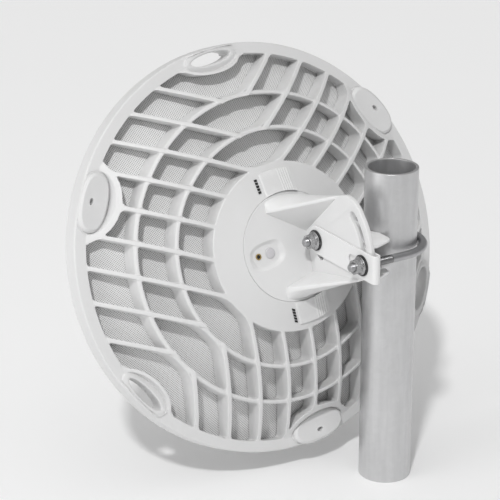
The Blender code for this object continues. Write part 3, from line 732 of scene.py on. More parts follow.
@dataclass(frozen=True)
class GalvanisedPipe(Finish):
    """Galvanised tube with crystal patches and dull streaks along its length."""

    crystal_scale: float = 210.0
    crystal_tone: Point = (0.035, 0.982)
    crystal_rough: float = 0.04
    streak_scale: float = 160.0
    streak_stretch: float = 0.08
    streak_tone: Point = (0.95, 1.05)
    streak_rough: float = 0.05
    grain: float = 0.18
    dust_colour: Triple = (0.40, 0.39, 0.37)
    metal: float = 0.85

    def wire(self, wiring: Wiring, shader: Node) -> None:
        """Wire the tube."""
        place = wiring.node("ShaderNodeTexCoord").outputs["Object"]
        crystals = wiring.node("ShaderNodeTexVoronoi")
        wiring.link(place, crystals.inputs["Vector"])
        crystals.inputs["Scale"].default_value = self.crystal_scale
        patch = wiring.node("ShaderNodeSeparateColor")
        wiring.link(crystals.outputs["Color"], patch.inputs[0])
        squeezed = wiring.node("ShaderNodeMapping")
        wiring.link(place, squeezed.inputs["Vector"])
        squeezed.inputs["Scale"].default_value = (1.0, 1.0, self.streak_stretch)
        streaks = wiring.noise(squeezed.outputs["Vector"], self.streak_scale, 4.0)
        grain = wiring.use(Effects.grain(), Grain_Scale=1200.0, Drift_Scale=14.0, Drift=0.12)
        dust = wiring.use(Effects.dust(), Amount=0.5, Patch_Scale=80.0).outputs["Mask"]
        tone = wiring.maths("MULTIPLY_ADD", patch.outputs["Red"], *self.crystal_tone)
        both = wiring.maths("MULTIPLY", tone, grain.outputs["Tone"])
        streaked = wiring.maths("MULTIPLY", both, wiring.spread(streaks, 0.3, 0.7, *self.streak_tone))
        toned = wiring.shade(self.colour, streaked)
        wiring.link(wiring.mix(dust, toned, self.dust_colour), shader.inputs["Base Color"])
        rough = wiring.maths("MULTIPLY_ADD", patch.outputs["Green"], self.crystal_rough, self.roughness)
        rough = wiring.maths("MULTIPLY_ADD", streaks, self.streak_rough, rough)
        wiring.link(rough, shader.inputs["Roughness"])
        wiring.link(wiring.bump(grain.outputs["Height"], GRAIN_DEPTH, self.grain), shader.inputs["Normal"])
        shader.inputs["Metallic"].default_value = self.metal


@dataclass(frozen=True)
class StageFinish(Finish):
    """Pale matt floor with a faint unevenness."""

    grain_depth: float = 0.0002
    grain: float = 0.05

    def wire(self, wiring: Wiring, shader: Node) -> None:
        """Wire the floor."""
        grain = wiring.use(Effects.grain(), Grain_Scale=300.0, Drift_Scale=3.0, Drift=0.01)
        wiring.link(wiring.shade(self.colour, grain.outputs["Tone"]), shader.inputs["Base Color"])
        normal = wiring.bump(grain.outputs["Height"], self.grain_depth, self.grain)
        wiring.link(normal, shader.inputs["Normal"])
        shader.inputs["Roughness"].default_value = self.roughness


FRAME_PLASTIC = MouldedPlastic("frame_plastic", (0.71, 0.71, 0.71), 0.46)
BRACKET_PLASTIC = MouldedPlastic("bracket_plastic", (0.745, 0.745, 0.745), 0.40, grain=0.08, dust=0.2)
CLAMP_PAINT = MouldedPlastic("clamp_paint", (0.80, 0.80, 0.80), 0.34, grain=0.05, dust=0.2)
BUTTON_PLASTIC = MouldedPlastic("button_plastic", (0.58, 0.57, 0.59), 0.30, grain=0.05, dust=0.1)
CORE_PLASTIC = MouldedPlastic("core_plastic", (0.60, 0.60, 0.60), 0.50)
FEED_PLASTIC = MouldedPlastic("feed_plastic", (0.68, 0.68, 0.67), 0.36, grain=0.08)
# Black for the printed scales, and also as painted shade on the disc inside the insert's bore.
BLACK_PRINT_AND_SHADE = MouldedPlastic("black_print", (0.012, 0.012, 0.012), 0.55, Slot.PRINT, grain=0.2, dust=0.05,
                             wear=0.15, worn_colour=(0.06, 0.06, 0.06))
MESH_SHEET = PerforatedSheet("mesh_sheet", (0.80, 0.80, 0.80), 0.50, Slot.SHEET)
BOLT_STEEL = PlatedSteel("bolt_steel", (0.42, 0.42, 0.43), 0.34, Slot.STEEL)
NUT_STEEL = PlatedSteel("nut_steel", (0.40, 0.40, 0.405), 0.24, Slot.STEEL, cloud=0.6,
                        worn_colour=(0.70, 0.70, 0.70))
THREAD_STEEL = PlatedSteel("thread_steel", (0.24, 0.24, 0.243), 0.30, Slot.STEEL, cloud=0.4,
                           worn_colour=(0.40, 0.40, 0.40))
# Near-black washers: painted shade for the gap shadow behind each nut's flange.
WASHER_PAINTED_SHADE = PlatedSteel("washer_steel", (0.06, 0.06, 0.062), 0.48, Slot.STEEL, cloud=0.4,
                           worn_colour=(0.22, 0.22, 0.22))
INSERT_BRASS = PlatedSteel("insert_brass", (0.50, 0.36, 0.14), 0.36, Slot.BRASS, cloud=0.4,
                           worn_colour=(0.72, 0.56, 0.28))
PIPE_ZINC = GalvanisedPipe("pipe_zinc", (0.62, 0.62, 0.625), 0.33, Slot.PIPE)
STUDIO_FLOOR = StageFinish("studio_floor", (0.94, 0.94, 0.94), 0.85)


@dataclass
class Assembly:
    """A group of pieces that ride on one body."""

    body: Body
    names: list[str] = field(default_factory=list, init=False)

    def add(self, name: str, shape: Solid, finish: Finish, place: Matrix, node: str = "",
            sharp: float = 32.0, even: bool = False) -> None:
        """Put a piece in the scene, dress it and let it ride.

        Args:
            name: Name of the piece.
            shape: Its closed shape, freed here.
            finish: Its finish.
            place: Matrix from the shape's frame to the world.
            node: Node of the frame that it stands for, if any.
            sharp: Angle in degrees above which an edge stays crisp.
            even: Whether its shading is weighted by face size.
        """
        mesh = Shapes.finish(shape, name, sharp)
        mesh.transform(place)
        mesh.materials.append(finish.material())
        piece = put(name, mesh)
        if even:
            weighted = piece.modifiers.new("even_shading", "WEIGHTED_NORMAL")
            weighted.keep_sharp = True
        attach(piece, self.body.value)
        if node:
            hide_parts(node)
        self.names.append(name)

    def dress(self, node: str, finish: Finish) -> None:
        """Give a carried-over node its finish."""
        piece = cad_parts[node]
        for slot in piece.material_slots:
            slot.material = finish.material()
        self.names.append(node)

    def report(self) -> None:
        """Log each piece of the group."""
        for name in self.names:
            LOG.info("%s: %s", self.body.value, name)


class Relief:
    """Points of a layered shape with how far each lies below the plain surface."""

    def __init__(self) -> None:
        """Start with no points."""
        self.loops: list[Loop] = []
        self.lines: list[Loop] = []
        self.drops: list[tuple[Point, float]] = []
        self.tree: KDTree | None = None

    def add(self, chain: Loop, drop: float | Field, closed: bool = True,
            crease: bool = True) -> None:
        """Add a loop or line of points.

        Args:
            chain: The points.
            drop: How far they lie below the plain surface, or a function that says it.
            closed: Whether they make a closed loop.
            crease: Whether both surfaces get points along them.
        """
        if crease:
            (self.loops if closed else self.lines).append(chain)
        for x, y in chain:
            self.drops.append(((x, y), drop(x, y) if callable(drop) else drop))

    def settle(self) -> None:
        """Make the points ready to be looked up."""
        self.tree = KDTree(len(self.drops))
        for index, ((x, y), _) in enumerate(self.drops):
            self.tree.insert((x, y, 0.0), index)
        self.tree.balance()

    def below(self, x: float, y: float) -> float:
        """How far a point lies below the plain surface."""
        _, index, _ = self.tree.find((x, y, 0.0))
        return self.drops[index][1]


def edge_drop(inside: float, radius: float) -> float:
    """How far a rounded edge of a radius has dropped at a distance inside it."""
    if inside >= radius:
        return 0.0
    return radius - sqrt(max(radius * radius - (radius - inside) ** 2, 0.0))


def ease(value: float, low: float, high: float) -> float:
    """Smooth step from 0 at low to 1 at high."""
    share = min(max((value - low) / (high - low), 0.0), 1.0)
    return share * share * (3.0 - 2.0 * share)


def between(ends: Point, share: float) -> float:
    """Value at a share of the way from the first end to the second."""
    return ends[0] + (ends[1] - ends[0]) * share


def blunt(value: float, fullness: float) -> float:
    """Coordinate on a full oval from a cosine or sine; a fullness of 2 keeps an ellipse."""
    return copysign(abs(value) ** (2.0 / fullness), value)


def set_out(direction: float, along: float, across: float) -> Point:
    """Point at a distance along a direction and a distance across it."""
    cosine, sine = cos(direction), sin(direction)
    return (along * cosine - across * sine, along * sine + across * cosine)


def read_off(direction: float, x: float, y: float) -> Point:
    """How far a point lies along a direction, and how far across it."""
    cosine, sine = cos(direction), sin(direction)
    return (x * cosine + y * sine, y * cosine - x * sine)


def stood_up(x: float, y: float = 0.0, z: float = 0.0) -> Matrix:
    """Matrix that stands a flat shape up at a place, its height along x and its own x along y."""
    return Matrix(((0.0, 0.0, 1.0, x), (1.0, 0.0, 0.0, y), (0.0, 1.0, 0.0, z), (0.0, 0.0, 0.0, 1.0)))


@dataclass
class Hub:
    """The domed hub ring's surface, shared by the frame, the tabs and the scales."""

    hub_radius: float = 0.0817
    hub_top: float = 0.0717
    disc_radius: float = 0.0525
    disc_top: float = 0.0785

    def surface(self, radius: float) -> float:
        """Depth of the hub ring at a radius."""
        share = (radius - self.disc_radius) / (self.hub_radius - self.disc_radius)
        return self.disc_top - (self.disc_top - self.hub_top) * min(max(share, 0.0), 1.0)


HUB = Hub()


@dataclass
class RibbedFrame(Assembly):
    """Rim, ribs, round ribs, hub ring, bosses and finger holes, one moulding.

    A profile says, loop by loop round a form, how far outside its edge and how far below the plain surface.
    """

    body: Body = Body.HEAD
    radius: float = 0.200
    rim_inner: float = 0.1885
    rim_depth: float = 0.0192
    rim_crown: float = 0.0026
    rim_edge_radius: float = 0.0016
    rim_loops: tuple[float, ...] = (0.0, 0.0003, 0.0009, 0.0018)
    rim_points: int = 192
    band_loops: tuple[float, ...] = (0.0006, 0.0012, 0.0021)
    plain_edge: float = 0.0005
    front_edge: float = 0.0012
    hub_hole: float = 0.0528
    hub_edge: float = 0.0008
    hub_edge_loops: Triple = (0.0, 0.0003, 0.0008)
    hub_points: int = 128
    hub_loops: tuple[float, ...] = (0.057, 0.062, 0.067, 0.072, 0.0765)
    dome_start: float = 0.28
    sectors: tuple[float, ...] = (156.5, 276.5, 36.5)
    bosses: tuple[float, ...] = (156.5, 278.3, 36.5)
    pitch: float = 0.0304
    rib_half: float = 0.0020
    rings: tuple[float, ...] = (HUB.hub_radius, 0.1147, 0.1496)
    ribs_per_ring: tuple[int, ...] = (2, 3, 4)
    corner: float = 0.0055
    inner_corner: float = 0.7
    flow: float = 2.4
    corner_growth: float = 0.4
    ring_turn: float = radians(3.5)
    rim_turn: float = radians(2.0)
    line_step: float = 0.006
    line_margin: float = 0.001
    rib_edge: float = 0.0009
    edge_loops: tuple[float, ...] = (0.00022, 0.0007, 0.0014)
    cross_edge: float = 0.0019
    cross_lower: float = 0.0012
    cross_fade: Point = (0.0004, 0.0045)
    cross_side: float = 0.0007
    crossing_half: float = 0.0022
    crossing_step: float = 0.0008
    shoulder: Point = (0.0003, 0.0001)
    valley: float = 0.0006
    boss_at: float = 0.1862
    boss_half: Point = (0.0360, 0.0220)
    cap_half: Point = (0.0300, 0.0161)
    cap_seat: float = 0.0218
    seat_profile: tuple[Point, ...] = ((-0.0003, 0.0), (0.0003, 0.0006), (0.0010, 0.0001))
    handle_at: float = 0.1895
    handle_half: Point = (0.0222, 0.0056)
    handle_points: int = 44
    handle_profile: tuple[Point, ...] = ((0.0, 0.0011), (0.0004, 0.0004), (0.0011, 0.0))
    collar_half: Point = (0.0340, 0.0150)
    lip_half: Point = (0.0290, 0.0118)
    lip_rise: float = 0.0012
    lip_profile: tuple[Point, ...] = ((-0.0042, 0.0), (-0.0028, 0.0003), (-0.0014, 0.0008), (-0.0001, 0.0012),
                                      (0.0006, 0.0))
    rim_margin: float = 0.0024
    sheet_vertex: float = 0.0615
    sheet_rim: float = 0.0050
    sheet_clear: float = 0.0009
    sheet_gap: float = 0.0009

    @staticmethod
    def in_oval(x: float, y: float, angle: float, at: float, half: Point) -> bool:
        """Whether a point lies in an oval set round the rim."""
        along, across = read_off(angle, x, y)
        along, across = (along - at) / half[1], across / half[0]
        return along * along + across * across <= 1.0

    @staticmethod
    def oval(angle: float, at: float, half: Point, steps: int, grow: float = 0.0,
             fullness: float = 2.0) -> Loop:
        """Oval set round the rim, its long way along the rim.

        Args:
            angle: Direction of its centre.
            at: Distance of its centre from the axis.
            half: Its half length along the rim and half width.
            steps: Number of points.
            grow: How much it is grown all round.
            fullness: 2 for an ellipse, more for blunter ends.

        Returns:
            The loop.
        """
        made = []
        for index in range(steps):
            turn = 2.0 * pi * index / steps
            along = at + blunt(cos(turn), fullness) * (half[1] + grow)
            made.append(set_out(angle, along, blunt(sin(turn), fullness) * (half[0] + grow)))
        return made

    def sheet_back(self, x: float, y: float) -> float:
        """Depth of the reflector's back surface."""
        dish = self.sheet_vertex - self.sheet_rim
        return self.sheet_vertex - dish * (x * x + y * y) / self.rim_inner ** 2

    def handles(self) -> list[float]:
        """Directions of the finger holes."""
        return [radians(sector + 60.0) for sector in self.sectors]

    def back(self, x: float, y: float) -> float:
        """Depth of the plain back surface, before its edges are rounded."""
        radius = hypot(x, y)
        crown = self.rim_depth + self.rim_crown
        if radius < self.radius - self.plain_edge:
            for boss in self.bosses:
                if self.in_oval(x, y, radians(boss), self.boss_at, self.cap_half):
                    return self.cap_seat
            for handle in self.handles():
                if self.in_oval(x, y, handle, self.handle_at, self.lip_half):
                    return crown + self.lip_rise
        if radius <= HUB.hub_radius:
            return HUB.surface(radius)
        if radius > self.rim_inner:
            return crown - self.rim_crown * (radius - self.rim_inner) / (self.radius - self.rim_inner)
        share = (radius - HUB.hub_radius) / (self.rim_inner - HUB.hub_radius)
        fall = self.dome_start * share + (1.0 - self.dome_start) * share * share
        return HUB.hub_top - (HUB.hub_top - crown) * fall

    def front(self, x: float, y: float) -> float:
        """Depth of the front surface: behind the reflector, then the rim's front."""
        radius = hypot(x, y)
        if radius > self.rim_inner + self.sheet_gap:
            near = min(radius - self.rim_inner - self.sheet_gap, self.radius - radius)
            return edge_drop(max(near, 0.0), self.front_edge)
        return self.sheet_back(x, y) + self.sheet_clear

    @staticmethod
    def oval_entry(angle: float, centre: float, at: float, half: Point) -> float | None:
        """Distance at which a ray from the axis enters an oval set round the rim.

        Args:
            angle: The ray's direction.
            centre: Direction of the oval's centre.
            at: Distance of the oval's centre from the axis.
            half: The oval's half length along the rim and half width.

        Returns:
            The distance, or None where the ray misses it.
        """
        turn = (angle - centre + pi) % (2.0 * pi) - pi
        along = cos(turn) / half[1]
        across = sin(turn) / half[0]
        a = along * along + across * across
        b = -2.0 * at / half[1] * along
        c = (at / half[1]) ** 2 - 1.0
        inside = b * b - 4.0 * a * c
        if inside <= 0.0 or abs(turn) > radians(30.0):
            return None
        return (-b - sqrt(inside)) / (2.0 * a)

    def rim_edge(self, angle: float) -> float:
        """Inner radius of the rim band, with its bosses and handle collars."""
        radius = self.rim_inner
        for boss, handle in zip(self.bosses, self.handles()):
            for entry in (self.oval_entry(angle, radians(boss), self.boss_at, self.boss_half),
                          self.oval_entry(angle, handle, self.handle_at, self.collar_half)):
                if entry is not None:
                    radius = min(radius, entry)
        return radius

    @staticmethod
    def polar(radius_at: Curve, start: float, end: float, step: float) -> Loop:
        """Points on a polar curve."""
        count = max(2, int(ceil(abs(end - start) / step)))
        made = []
        for index in range(count + 1):
            angle = start + (end - start) * index / count
            made.append((radius_at(angle) * cos(angle), radius_at(angle) * sin(angle)))
        return made

    @staticmethod
    def meets(sector: float, offset: float, radius_at: Curve) -> float:
        """Angle at which a line beside a sector's axis meets a polar curve."""
        radius = radius_at(sector)
        angle = sector
        for _ in range(60):
            angle = sector + asin(max(-1.0, min(1.0, offset / radius)))
            radius = 0.5 * radius + 0.5 * radius_at(angle)
        return angle

    @staticmethod
    def straight(start: Point, end: Point, step: float) -> Loop:
        """Points on a straight line, both ends included."""
        length = hypot(end[0] - start[0], end[1] - start[1])
        count = max(2, int(ceil(length / step)))
        return [(start[0] + (end[0] - start[0]) * i / count, start[1] + (end[1] - start[1]) * i / count)
                for i in range(count + 1)]

    @staticmethod
    def trimmed(chain: Loop, before: float, after: float) -> list[Vector]:
        """Shorten a line by one length at its start and another at its end."""
        made = [Vector(point) for point in chain]
        for length in (before, after):
            left = length
            while len(made) > 2 and (made[0] - made[1]).length <= left:
                left -= (made[0] - made[1]).length
                made.pop(0)
            step = made[1] - made[0]
            made[0] = made[0] + step * min(left / step.length, 0.45)
            made.reverse()
        return made

    def flowing(self, sides: Sequence[Loop], trims: Sequence[float], steps: int = 5) -> Loop:
        """Join sides end to end, with rounded corners.

        Args:
            sides: The sides in order.
            trims: How far the corner at each side's start reaches.
            steps: Steps in each corner.

        Returns:
            The closed loop.
        """
        made: list[Vector] = []
        count = len(sides)
        for index, side in enumerate(sides):
            after = trims[(index + 1) % count]
            corner = Vector(side[-1])
            cut = self.trimmed(side, trims[index], after)
            made.extend(cut)
            following = self.trimmed(sides[(index + 1) % count], after, trims[(index + 2) % count])
            for step in range(1, steps):
                t = step / steps
                made.append(cut[-1] * (1 - t) ** 2 + corner * 2 * t * (1 - t) + following[0] * t * t)
        return [(point.x, point.y) for point in made]

    def window(self, first: Point, second: Point, inner: Curve, outer: Curve, trims: Sequence[float],
               step: float) -> Loop:
        """One opening between two ribs, an inner curve and an outer curve.

        Args:
            first: Sector and offset of the line at one side.
            second: Sector and offset of the line at the other side.
            inner: The inner polar curve.
            outer: The outer polar curve.
            trims: How far each corner reaches.
            step: Angle between points on the curves.

        Returns:
            The opening's loop.
        """
        arcs = []
        for curve in (inner, outer):
            start, end = self.meets(*first, curve), self.meets(*second, curve)
            if end < start - 1e-6:
                end += 2.0 * pi
            arcs.append((start, end))
        inner_arc = self.polar(inner, *arcs[0][::-1], step)
        outer_arc = self.polar(outer, *arcs[1], step)
        sides = [self.straight(inner_arc[-1], outer_arc[0], self.line_step), outer_arc,
                 self.straight(outer_arc[-1], inner_arc[0], self.line_step), inner_arc]
        return self.flowing(sides, trims)

    def windows(self, grow: float) -> list[Loop]:
        """All openings of the frame, each grown all round."""
        made = []
        half = self.rib_half - grow
        corner = self.corner + self.corner_growth * grow
        for level, ribs in enumerate(self.ribs_per_ring):
            last = level + 1 == len(self.rings)
            near = self.rings[level] + (half if level else -grow)
            far = 0.0 if last else self.rings[level + 1] - half
            inner = (lambda angle, near=near: near)
            outer = (lambda angle: self.rim_edge(angle) + grow) if last else (lambda angle, far=far: far)
            step = self.rim_turn if last else self.ring_turn
            for index, degrees in enumerate(self.sectors):
                sector = radians(degrees)
                following = radians(self.sectors[(index + 1) % 3])
                lines = [(sector, rib * self.pitch) for rib in range(-ribs, ribs + 1)]
                lines.append((following, -ribs * self.pitch))
                for (start, left), (end, right) in zip(lines, lines[1:]):
                    first, second = (start, left + half), (end, right - half)
                    share = self.inner_corner if start == end else self.flow
                    trims = [corner * share, corner, corner, corner * share]
                    made.append(self.window(first, second, inner, outer, trims, step))
        return made

    def beside_rib(self, x: float, y: float) -> float:
        """Distance from the nearest straight rib's side, negative on the rib."""
        radius = hypot(x, y)
        level = sum(1 for ring in self.rings[1:] if radius > ring - self.rib_half)
        limit = self.ribs_per_ring[level]
        nearest = 1.0
        for degrees in self.sectors:
            along, across = read_off(radians(degrees), x, y)
            if along > 0.0:
                rib = max(-limit, min(limit, round(across / self.pitch)))
                nearest = min(nearest, abs(across - rib * self.pitch) - self.rib_half)
        return nearest

    def cross_share(self, x: float, y: float) -> float:
        """How much a point belongs to a round rib rather than to a straight one."""
        radius = hypot(x, y)
        beyond = min(abs(radius - ring) - self.rib_half for ring in self.rings[1:])
        return (1.0 - ease(beyond, *self.cross_fade)) * ease(self.beside_rib(x, y), 0.0, self.cross_side)

    def relief(self) -> Relief:
        """Rounded edges of the windows, the rim, the hub, the bosses and the handle lips."""
        made = Relief()

        def drop_at(inside: float) -> Field:
            """Drop at a distance from a window's edge."""
            def drop(x: float, y: float) -> float:
                """Drop at a point."""
                share = self.cross_share(x, y)
                edge = self.rib_edge + (self.cross_edge - self.rib_edge) * share
                return self.cross_lower * share + edge_drop(inside, edge)
            return drop

        for inside in (0.0, *self.edge_loops):
            for loop in self.windows(inside):
                made.add(loop, drop_at(inside), crease=inside > 0.0)
        self.add_crossings(made)
        for radius in self.hub_loops:
            made.add(Shapes.circle(radius, 90), 0.0)
        for inside in self.hub_edge_loops:
            made.add(Shapes.circle(self.hub_hole + inside, self.hub_points), edge_drop(inside, self.hub_edge),
                     crease=inside > 0.0)
        for inside in self.rim_loops:
            made.add(Shapes.circle(self.radius - inside, self.rim_points),
                     edge_drop(inside, self.rim_edge_radius), crease=inside > 0.0)
        for outside in self.band_loops:
            made.add(Shapes.circle(self.rim_inner + outside, 160), 0.0)
        for boss in self.bosses:
            for grow, drop in self.seat_profile:
                seat = self.oval(radians(boss), self.boss_at, self.cap_half, 56, grow)
                made.add([self.clipped(point) for point in seat], drop)
        for handle in self.handles():
            for grow, drop in self.handle_profile:
                hole = self.oval(handle, self.handle_at, self.handle_half, self.handle_points, grow)
                made.add(hole, drop, crease=grow > 0.0)
            for grow, drop in self.lip_profile:
                swelling = self.oval(handle, self.handle_at, self.lip_half, 52, grow)
                made.add([self.clipped(point) for point in swelling], drop)
        made.settle()
        return made

    def clipped(self, point: Point) -> Point:
        """A point moved inward where it would lie on or beyond the rim's edge."""
        shrink = min(1.0, (self.radius - self.rim_margin) / hypot(*point))
        return (point[0] * shrink, point[1] * shrink)

    def add_crossings(self, made: Relief) -> None:
        """Add the straight ribs' middle lines, and their sides where round ribs cross.

        Args:
            made: The relief to add to.
        """
        most = self.ribs_per_ring[-1]
        for degrees in self.sectors:
            sector = radians(degrees)
            for rib in range(-most, most + 1):
                level = max(0, abs(rib) - self.ribs_per_ring[0])
                across = rib * self.pitch
                start = sqrt((self.rings[level] + self.line_margin) ** 2 - across * across)
                angle = self.meets(sector, across, self.rim_edge)
                end = self.rim_edge(angle) * cos(angle - sector) - self.line_margin
                made.add(self.along_rib(sector, across, start, end, self.line_step), 0.0, closed=False)
                for ring in self.rings[max(1, level):]:
                    middle = sqrt(ring * ring - across * across)
                    start, end = middle - self.crossing_half, middle + self.crossing_half
                    for side in (-1.0, 1.0):
                        for out, drop in ((self.rib_half - self.shoulder[0], self.shoulder[1]),
                                          (self.rib_half + self.valley, self.band_drop(ring))):
                            line = self.along_rib(sector, across + side * out, start, end, self.crossing_step)
                            made.add(line, drop, closed=False)

    def band_drop(self, ring: float) -> Field:
        """Drop of a round rib's rounded back at a point of its band."""
        def drop(x: float, y: float) -> float:
            """Drop at a point."""
            inside = max(self.rib_half - abs(hypot(x, y) - ring), 0.0)
            return self.cross_lower + edge_drop(inside, self.cross_edge) * 0.5
        return drop

    @classmethod
    def along_rib(cls, sector: float, across: float, start: float, end: float, step: float) -> Loop:
        """Points along a sector's direction at a distance beside its axis."""
        return [set_out(sector, u, v) for u, v in cls.straight((start, across), (end, across), step)]

    def build(self) -> None:
        """Build the moulding."""
        relief = self.relief()
        holes = self.windows(0.0)
        for handle in self.handles():
            holes.append(self.oval(handle, self.handle_at, self.handle_half, self.handle_points))
        holes.append(Shapes.circle(self.hub_hole, self.hub_points))
        shape = Shapes.layered(Shapes.circle(self.radius, self.rim_points), holes,
                               lambda x, y: self.back(x, y) - relief.below(x, y), self.front,
                               relief.loops, relief.lines)
        self.add("ribbed_frame", shape, FRAME_PLASTIC, PLACE.dish(), "rib_frame", 40.0, even=True)


@dataclass
class RimCaps(Assembly):
    """Caps on the three bosses of the rim, the flank's profile going inwards from the edge."""

    body: Body = Body.HEAD
    frame_sizes: RibbedFrame = field(default_factory=RibbedFrame)
    height: float = 0.0050
    margin: float = 0.0014
    flank_profile: tuple[Point, ...] = ((0.0, 0.0027), (0.0003, 0.0023), (0.0013, 0.0013), (0.0023, 0.0004),
                                        (0.0027, 0.0001), (0.0030, 0.0))
    fullness: float = 2.35
    hole_half: Point = (0.0033, 0.0018)
    hole_beyond_middle: float = 0.0036
    hole_profile: tuple[Point, ...] = ((0.0, 0.0004), (0.0004, 0.0))

    def edge(self, angle: float, inside: float) -> Loop:
        """A cap's blunt oval edge, drawn in by a distance."""
        sizes = self.frame_sizes
        return sizes.oval(angle, sizes.boss_at, sizes.cap_half, 72, -self.margin - inside, self.fullness)

    def hole(self, angle: float, grow: float) -> Loop:
        """Edge of a cap's small hole, grown by a distance."""
        at = self.frame_sizes.boss_at + self.hole_beyond_middle
        return self.frame_sizes.oval(angle, at, self.hole_half, 20, grow)

    def build(self) -> None:
        """Build the three caps."""
        seat = self.frame_sizes.cap_seat
        for label, degrees in zip(("left", "lower", "upper"), self.frame_sizes.bosses):
            angle = radians(degrees)
            relief = Relief()
            for inside, drop in self.flank_profile:
                relief.add(self.edge(angle, inside), drop, crease=inside > 0.0)
            for grow, drop in self.hole_profile:
                relief.add(self.hole(angle, grow), drop, crease=grow > 0.0)
            relief.settle()
            shape = Shapes.layered(self.edge(angle, 0.0), [self.hole(angle, 0.0)],
                                   lambda x, y: seat + self.height - relief.below(x, y),
                                   lambda x, y: seat + GAP, relief.loops)
            self.add("cap_" + label, shape, FRAME_PLASTIC, PLACE.dish(), "rim_cap_" + label, 50.0, even=True)


@dataclass(frozen=True)
class Latch:
    """One latch tab and its scale: offsets are across the tab's direction."""

    label: str
    degrees: float
    edges: Point
    ramp_at: float
    first_ridge: float
    scale_at: float


@dataclass
class LatchTabs(Assembly):
    """Latch tabs on the hub ring, with the printed scales beside them."""

    body: Body = Body.HEAD
    latches: tuple[Latch, ...] = (Latch("upper", 95.5, (-0.0196, 0.0138), 0.0138, -0.0062, 0.0186),
                                  Latch("lower", 281.0, (-0.0171, 0.0175), -0.0171, 0.0040, -0.0205))
    reach: Point = (0.0534, 0.0752)
    rise: float = 0.0034
    foot: float = 0.0013
    skin: float = 0.0006
    ramp: float = 0.0016
    ramp_start: float = -0.0004
    ramp_stations: tuple[float, ...] = (0.15, 0.4, 0.7, 1.0, 1.2)
    plain_stations: int = 12
    station_shift: float = 0.37
    edge: float = 0.0008
    edge_share: float = 0.8
    ridge_pitch: float = 0.0024
    ridge_height: float = 0.00032
    ridge_half: float = 0.0006
    ridges: int = 5
    mark_half: float = 0.0015
    mark_reach: Point = (0.0590, 0.0730)
    marks: int = 5
    mark_gap: float = 0.26
    slant: float = 0.0008

    def block(self, direction: float, reach: Point, edges: Point, stations: Sequence[float],
              rise: Curve, slant: float = 0.0) -> Solid:
        """Low block that follows the hub ring.

        Args:
            direction: Direction of the block.
            reach: Its inner and outer distance from the axis.
            edges: Its two sides, as offsets across the direction.
            stations: Offsets across the direction that get points.
            rise: Height above the hub at an offset.
            slant: How much further out one side lies than the other.

        Returns:
            The closed shape.
        """
        def spot(distance: float, across: float) -> Point:
            """Point at a distance and an offset."""
            share = (across - edges[0]) / (edges[1] - edges[0])
            return set_out(direction, sqrt(distance * distance - across * across) + slant * share, across)

        spots = sorted({*edges, *stations})
        outline = [spot(reach[0], across) for across in spots]
        outline += [spot(reach[1], across) for across in spots[::-1]]
        lines = []
        for across in spots[1:-1]:
            lines.append([spot(reach[0] + (reach[1] - reach[0]) * step / 4.0, across) for step in range(5)])
        return Shapes.layered(outline, [],
                              lambda x, y: HUB.surface(hypot(x, y)) + rise(read_off(direction, x, y)[1]),
                              lambda x, y: HUB.surface(hypot(x, y)) + GAP, (), lines)

    def build_tab(self, latch: Latch) -> None:
        """Build one tab, with its ramp and ridges."""
        way = -1.0 if latch.ramp_at > 0.0 else 1.0
        start, end = latch.edges
        crests = [latch.first_ridge + way * self.ridge_pitch * index for index in range(self.ridges)]
        stations = [latch.ramp_at + way * self.ramp * share for share in self.ramp_stations]
        stations += [start + self.edge / 2.0, end - self.edge / 2.0]
        for step in range(self.plain_stations):
            stations.append(start + (end - start) * (step + self.station_shift) / self.plain_stations)
        for crest in crests:
            stations += [crest + self.ridge_half * share for share in (-1.0, -0.5, 0.0, 0.5, 1.0)]

        def rise(across: float) -> float:
            """Height above the hub."""
            slope = ease(abs(across - latch.ramp_at), self.ramp_start, self.ramp)
            high = self.foot + (self.rise - self.foot) * abs(across - latch.ramp_at) / (end - start)
            edge = edge_drop(max(min(across - start, end - across), 0.0), self.edge)
            ridge = max(1.0 - abs(across - crest) / self.ridge_half for crest in crests)
            lift = self.ridge_height * max(ridge, 0.0)
            return self.skin + (high - self.skin) * slope - edge * self.edge_share + lift

        shape = self.block(radians(latch.degrees), self.reach, latch.edges, stations, rise)
        self.add("tab_" + latch.label, shape, FRAME_PLASTIC, PLACE.dish(), "latch_tab_" + latch.label, 30.0)

    def build_scale(self, latch: Latch) -> None:
        """Build the dashes of one tab's scale."""
        whole = bmesh.new()
        length = (self.mark_reach[1] - self.mark_reach[0]) / self.marks
        edges = (latch.scale_at - self.mark_half, latch.scale_at + self.mark_half)
        for index in range(self.marks):
            start = self.mark_reach[0] + length * index
            reach = (start + length * self.mark_gap / 2.0, start + length * (1.0 - self.mark_gap / 2.0))
            mark = self.block(radians(latch.degrees), reach, edges, (), lambda across: self.skin, self.slant)
            part = Shapes.finish(mark, "mark")
            whole.from_mesh(part)
            bpy.data.meshes.remove(part)
        self.add("scale_marks_" + latch.label, whole, BLACK_PRINT_AND_SHADE, PLACE.dish(), "scale_strip_" + latch.label)

    def build(self) -> None:
        """Build both tabs and both scales."""
        for latch in self.latches:
            self.build_tab(latch)
        for latch in self.latches:
            self.build_scale(latch)


@dataclass(frozen=True)
class Web:
    """Sizes of one slanted web, in the head frame but for tip_across, which is in the dish frame.

    The first of each pair is at the web's tip and the second at its rear end.
    """

    label: str
    side: float
    tip_across: float
    rear: float
    foot: Point
    inner: Point
    outer: Point


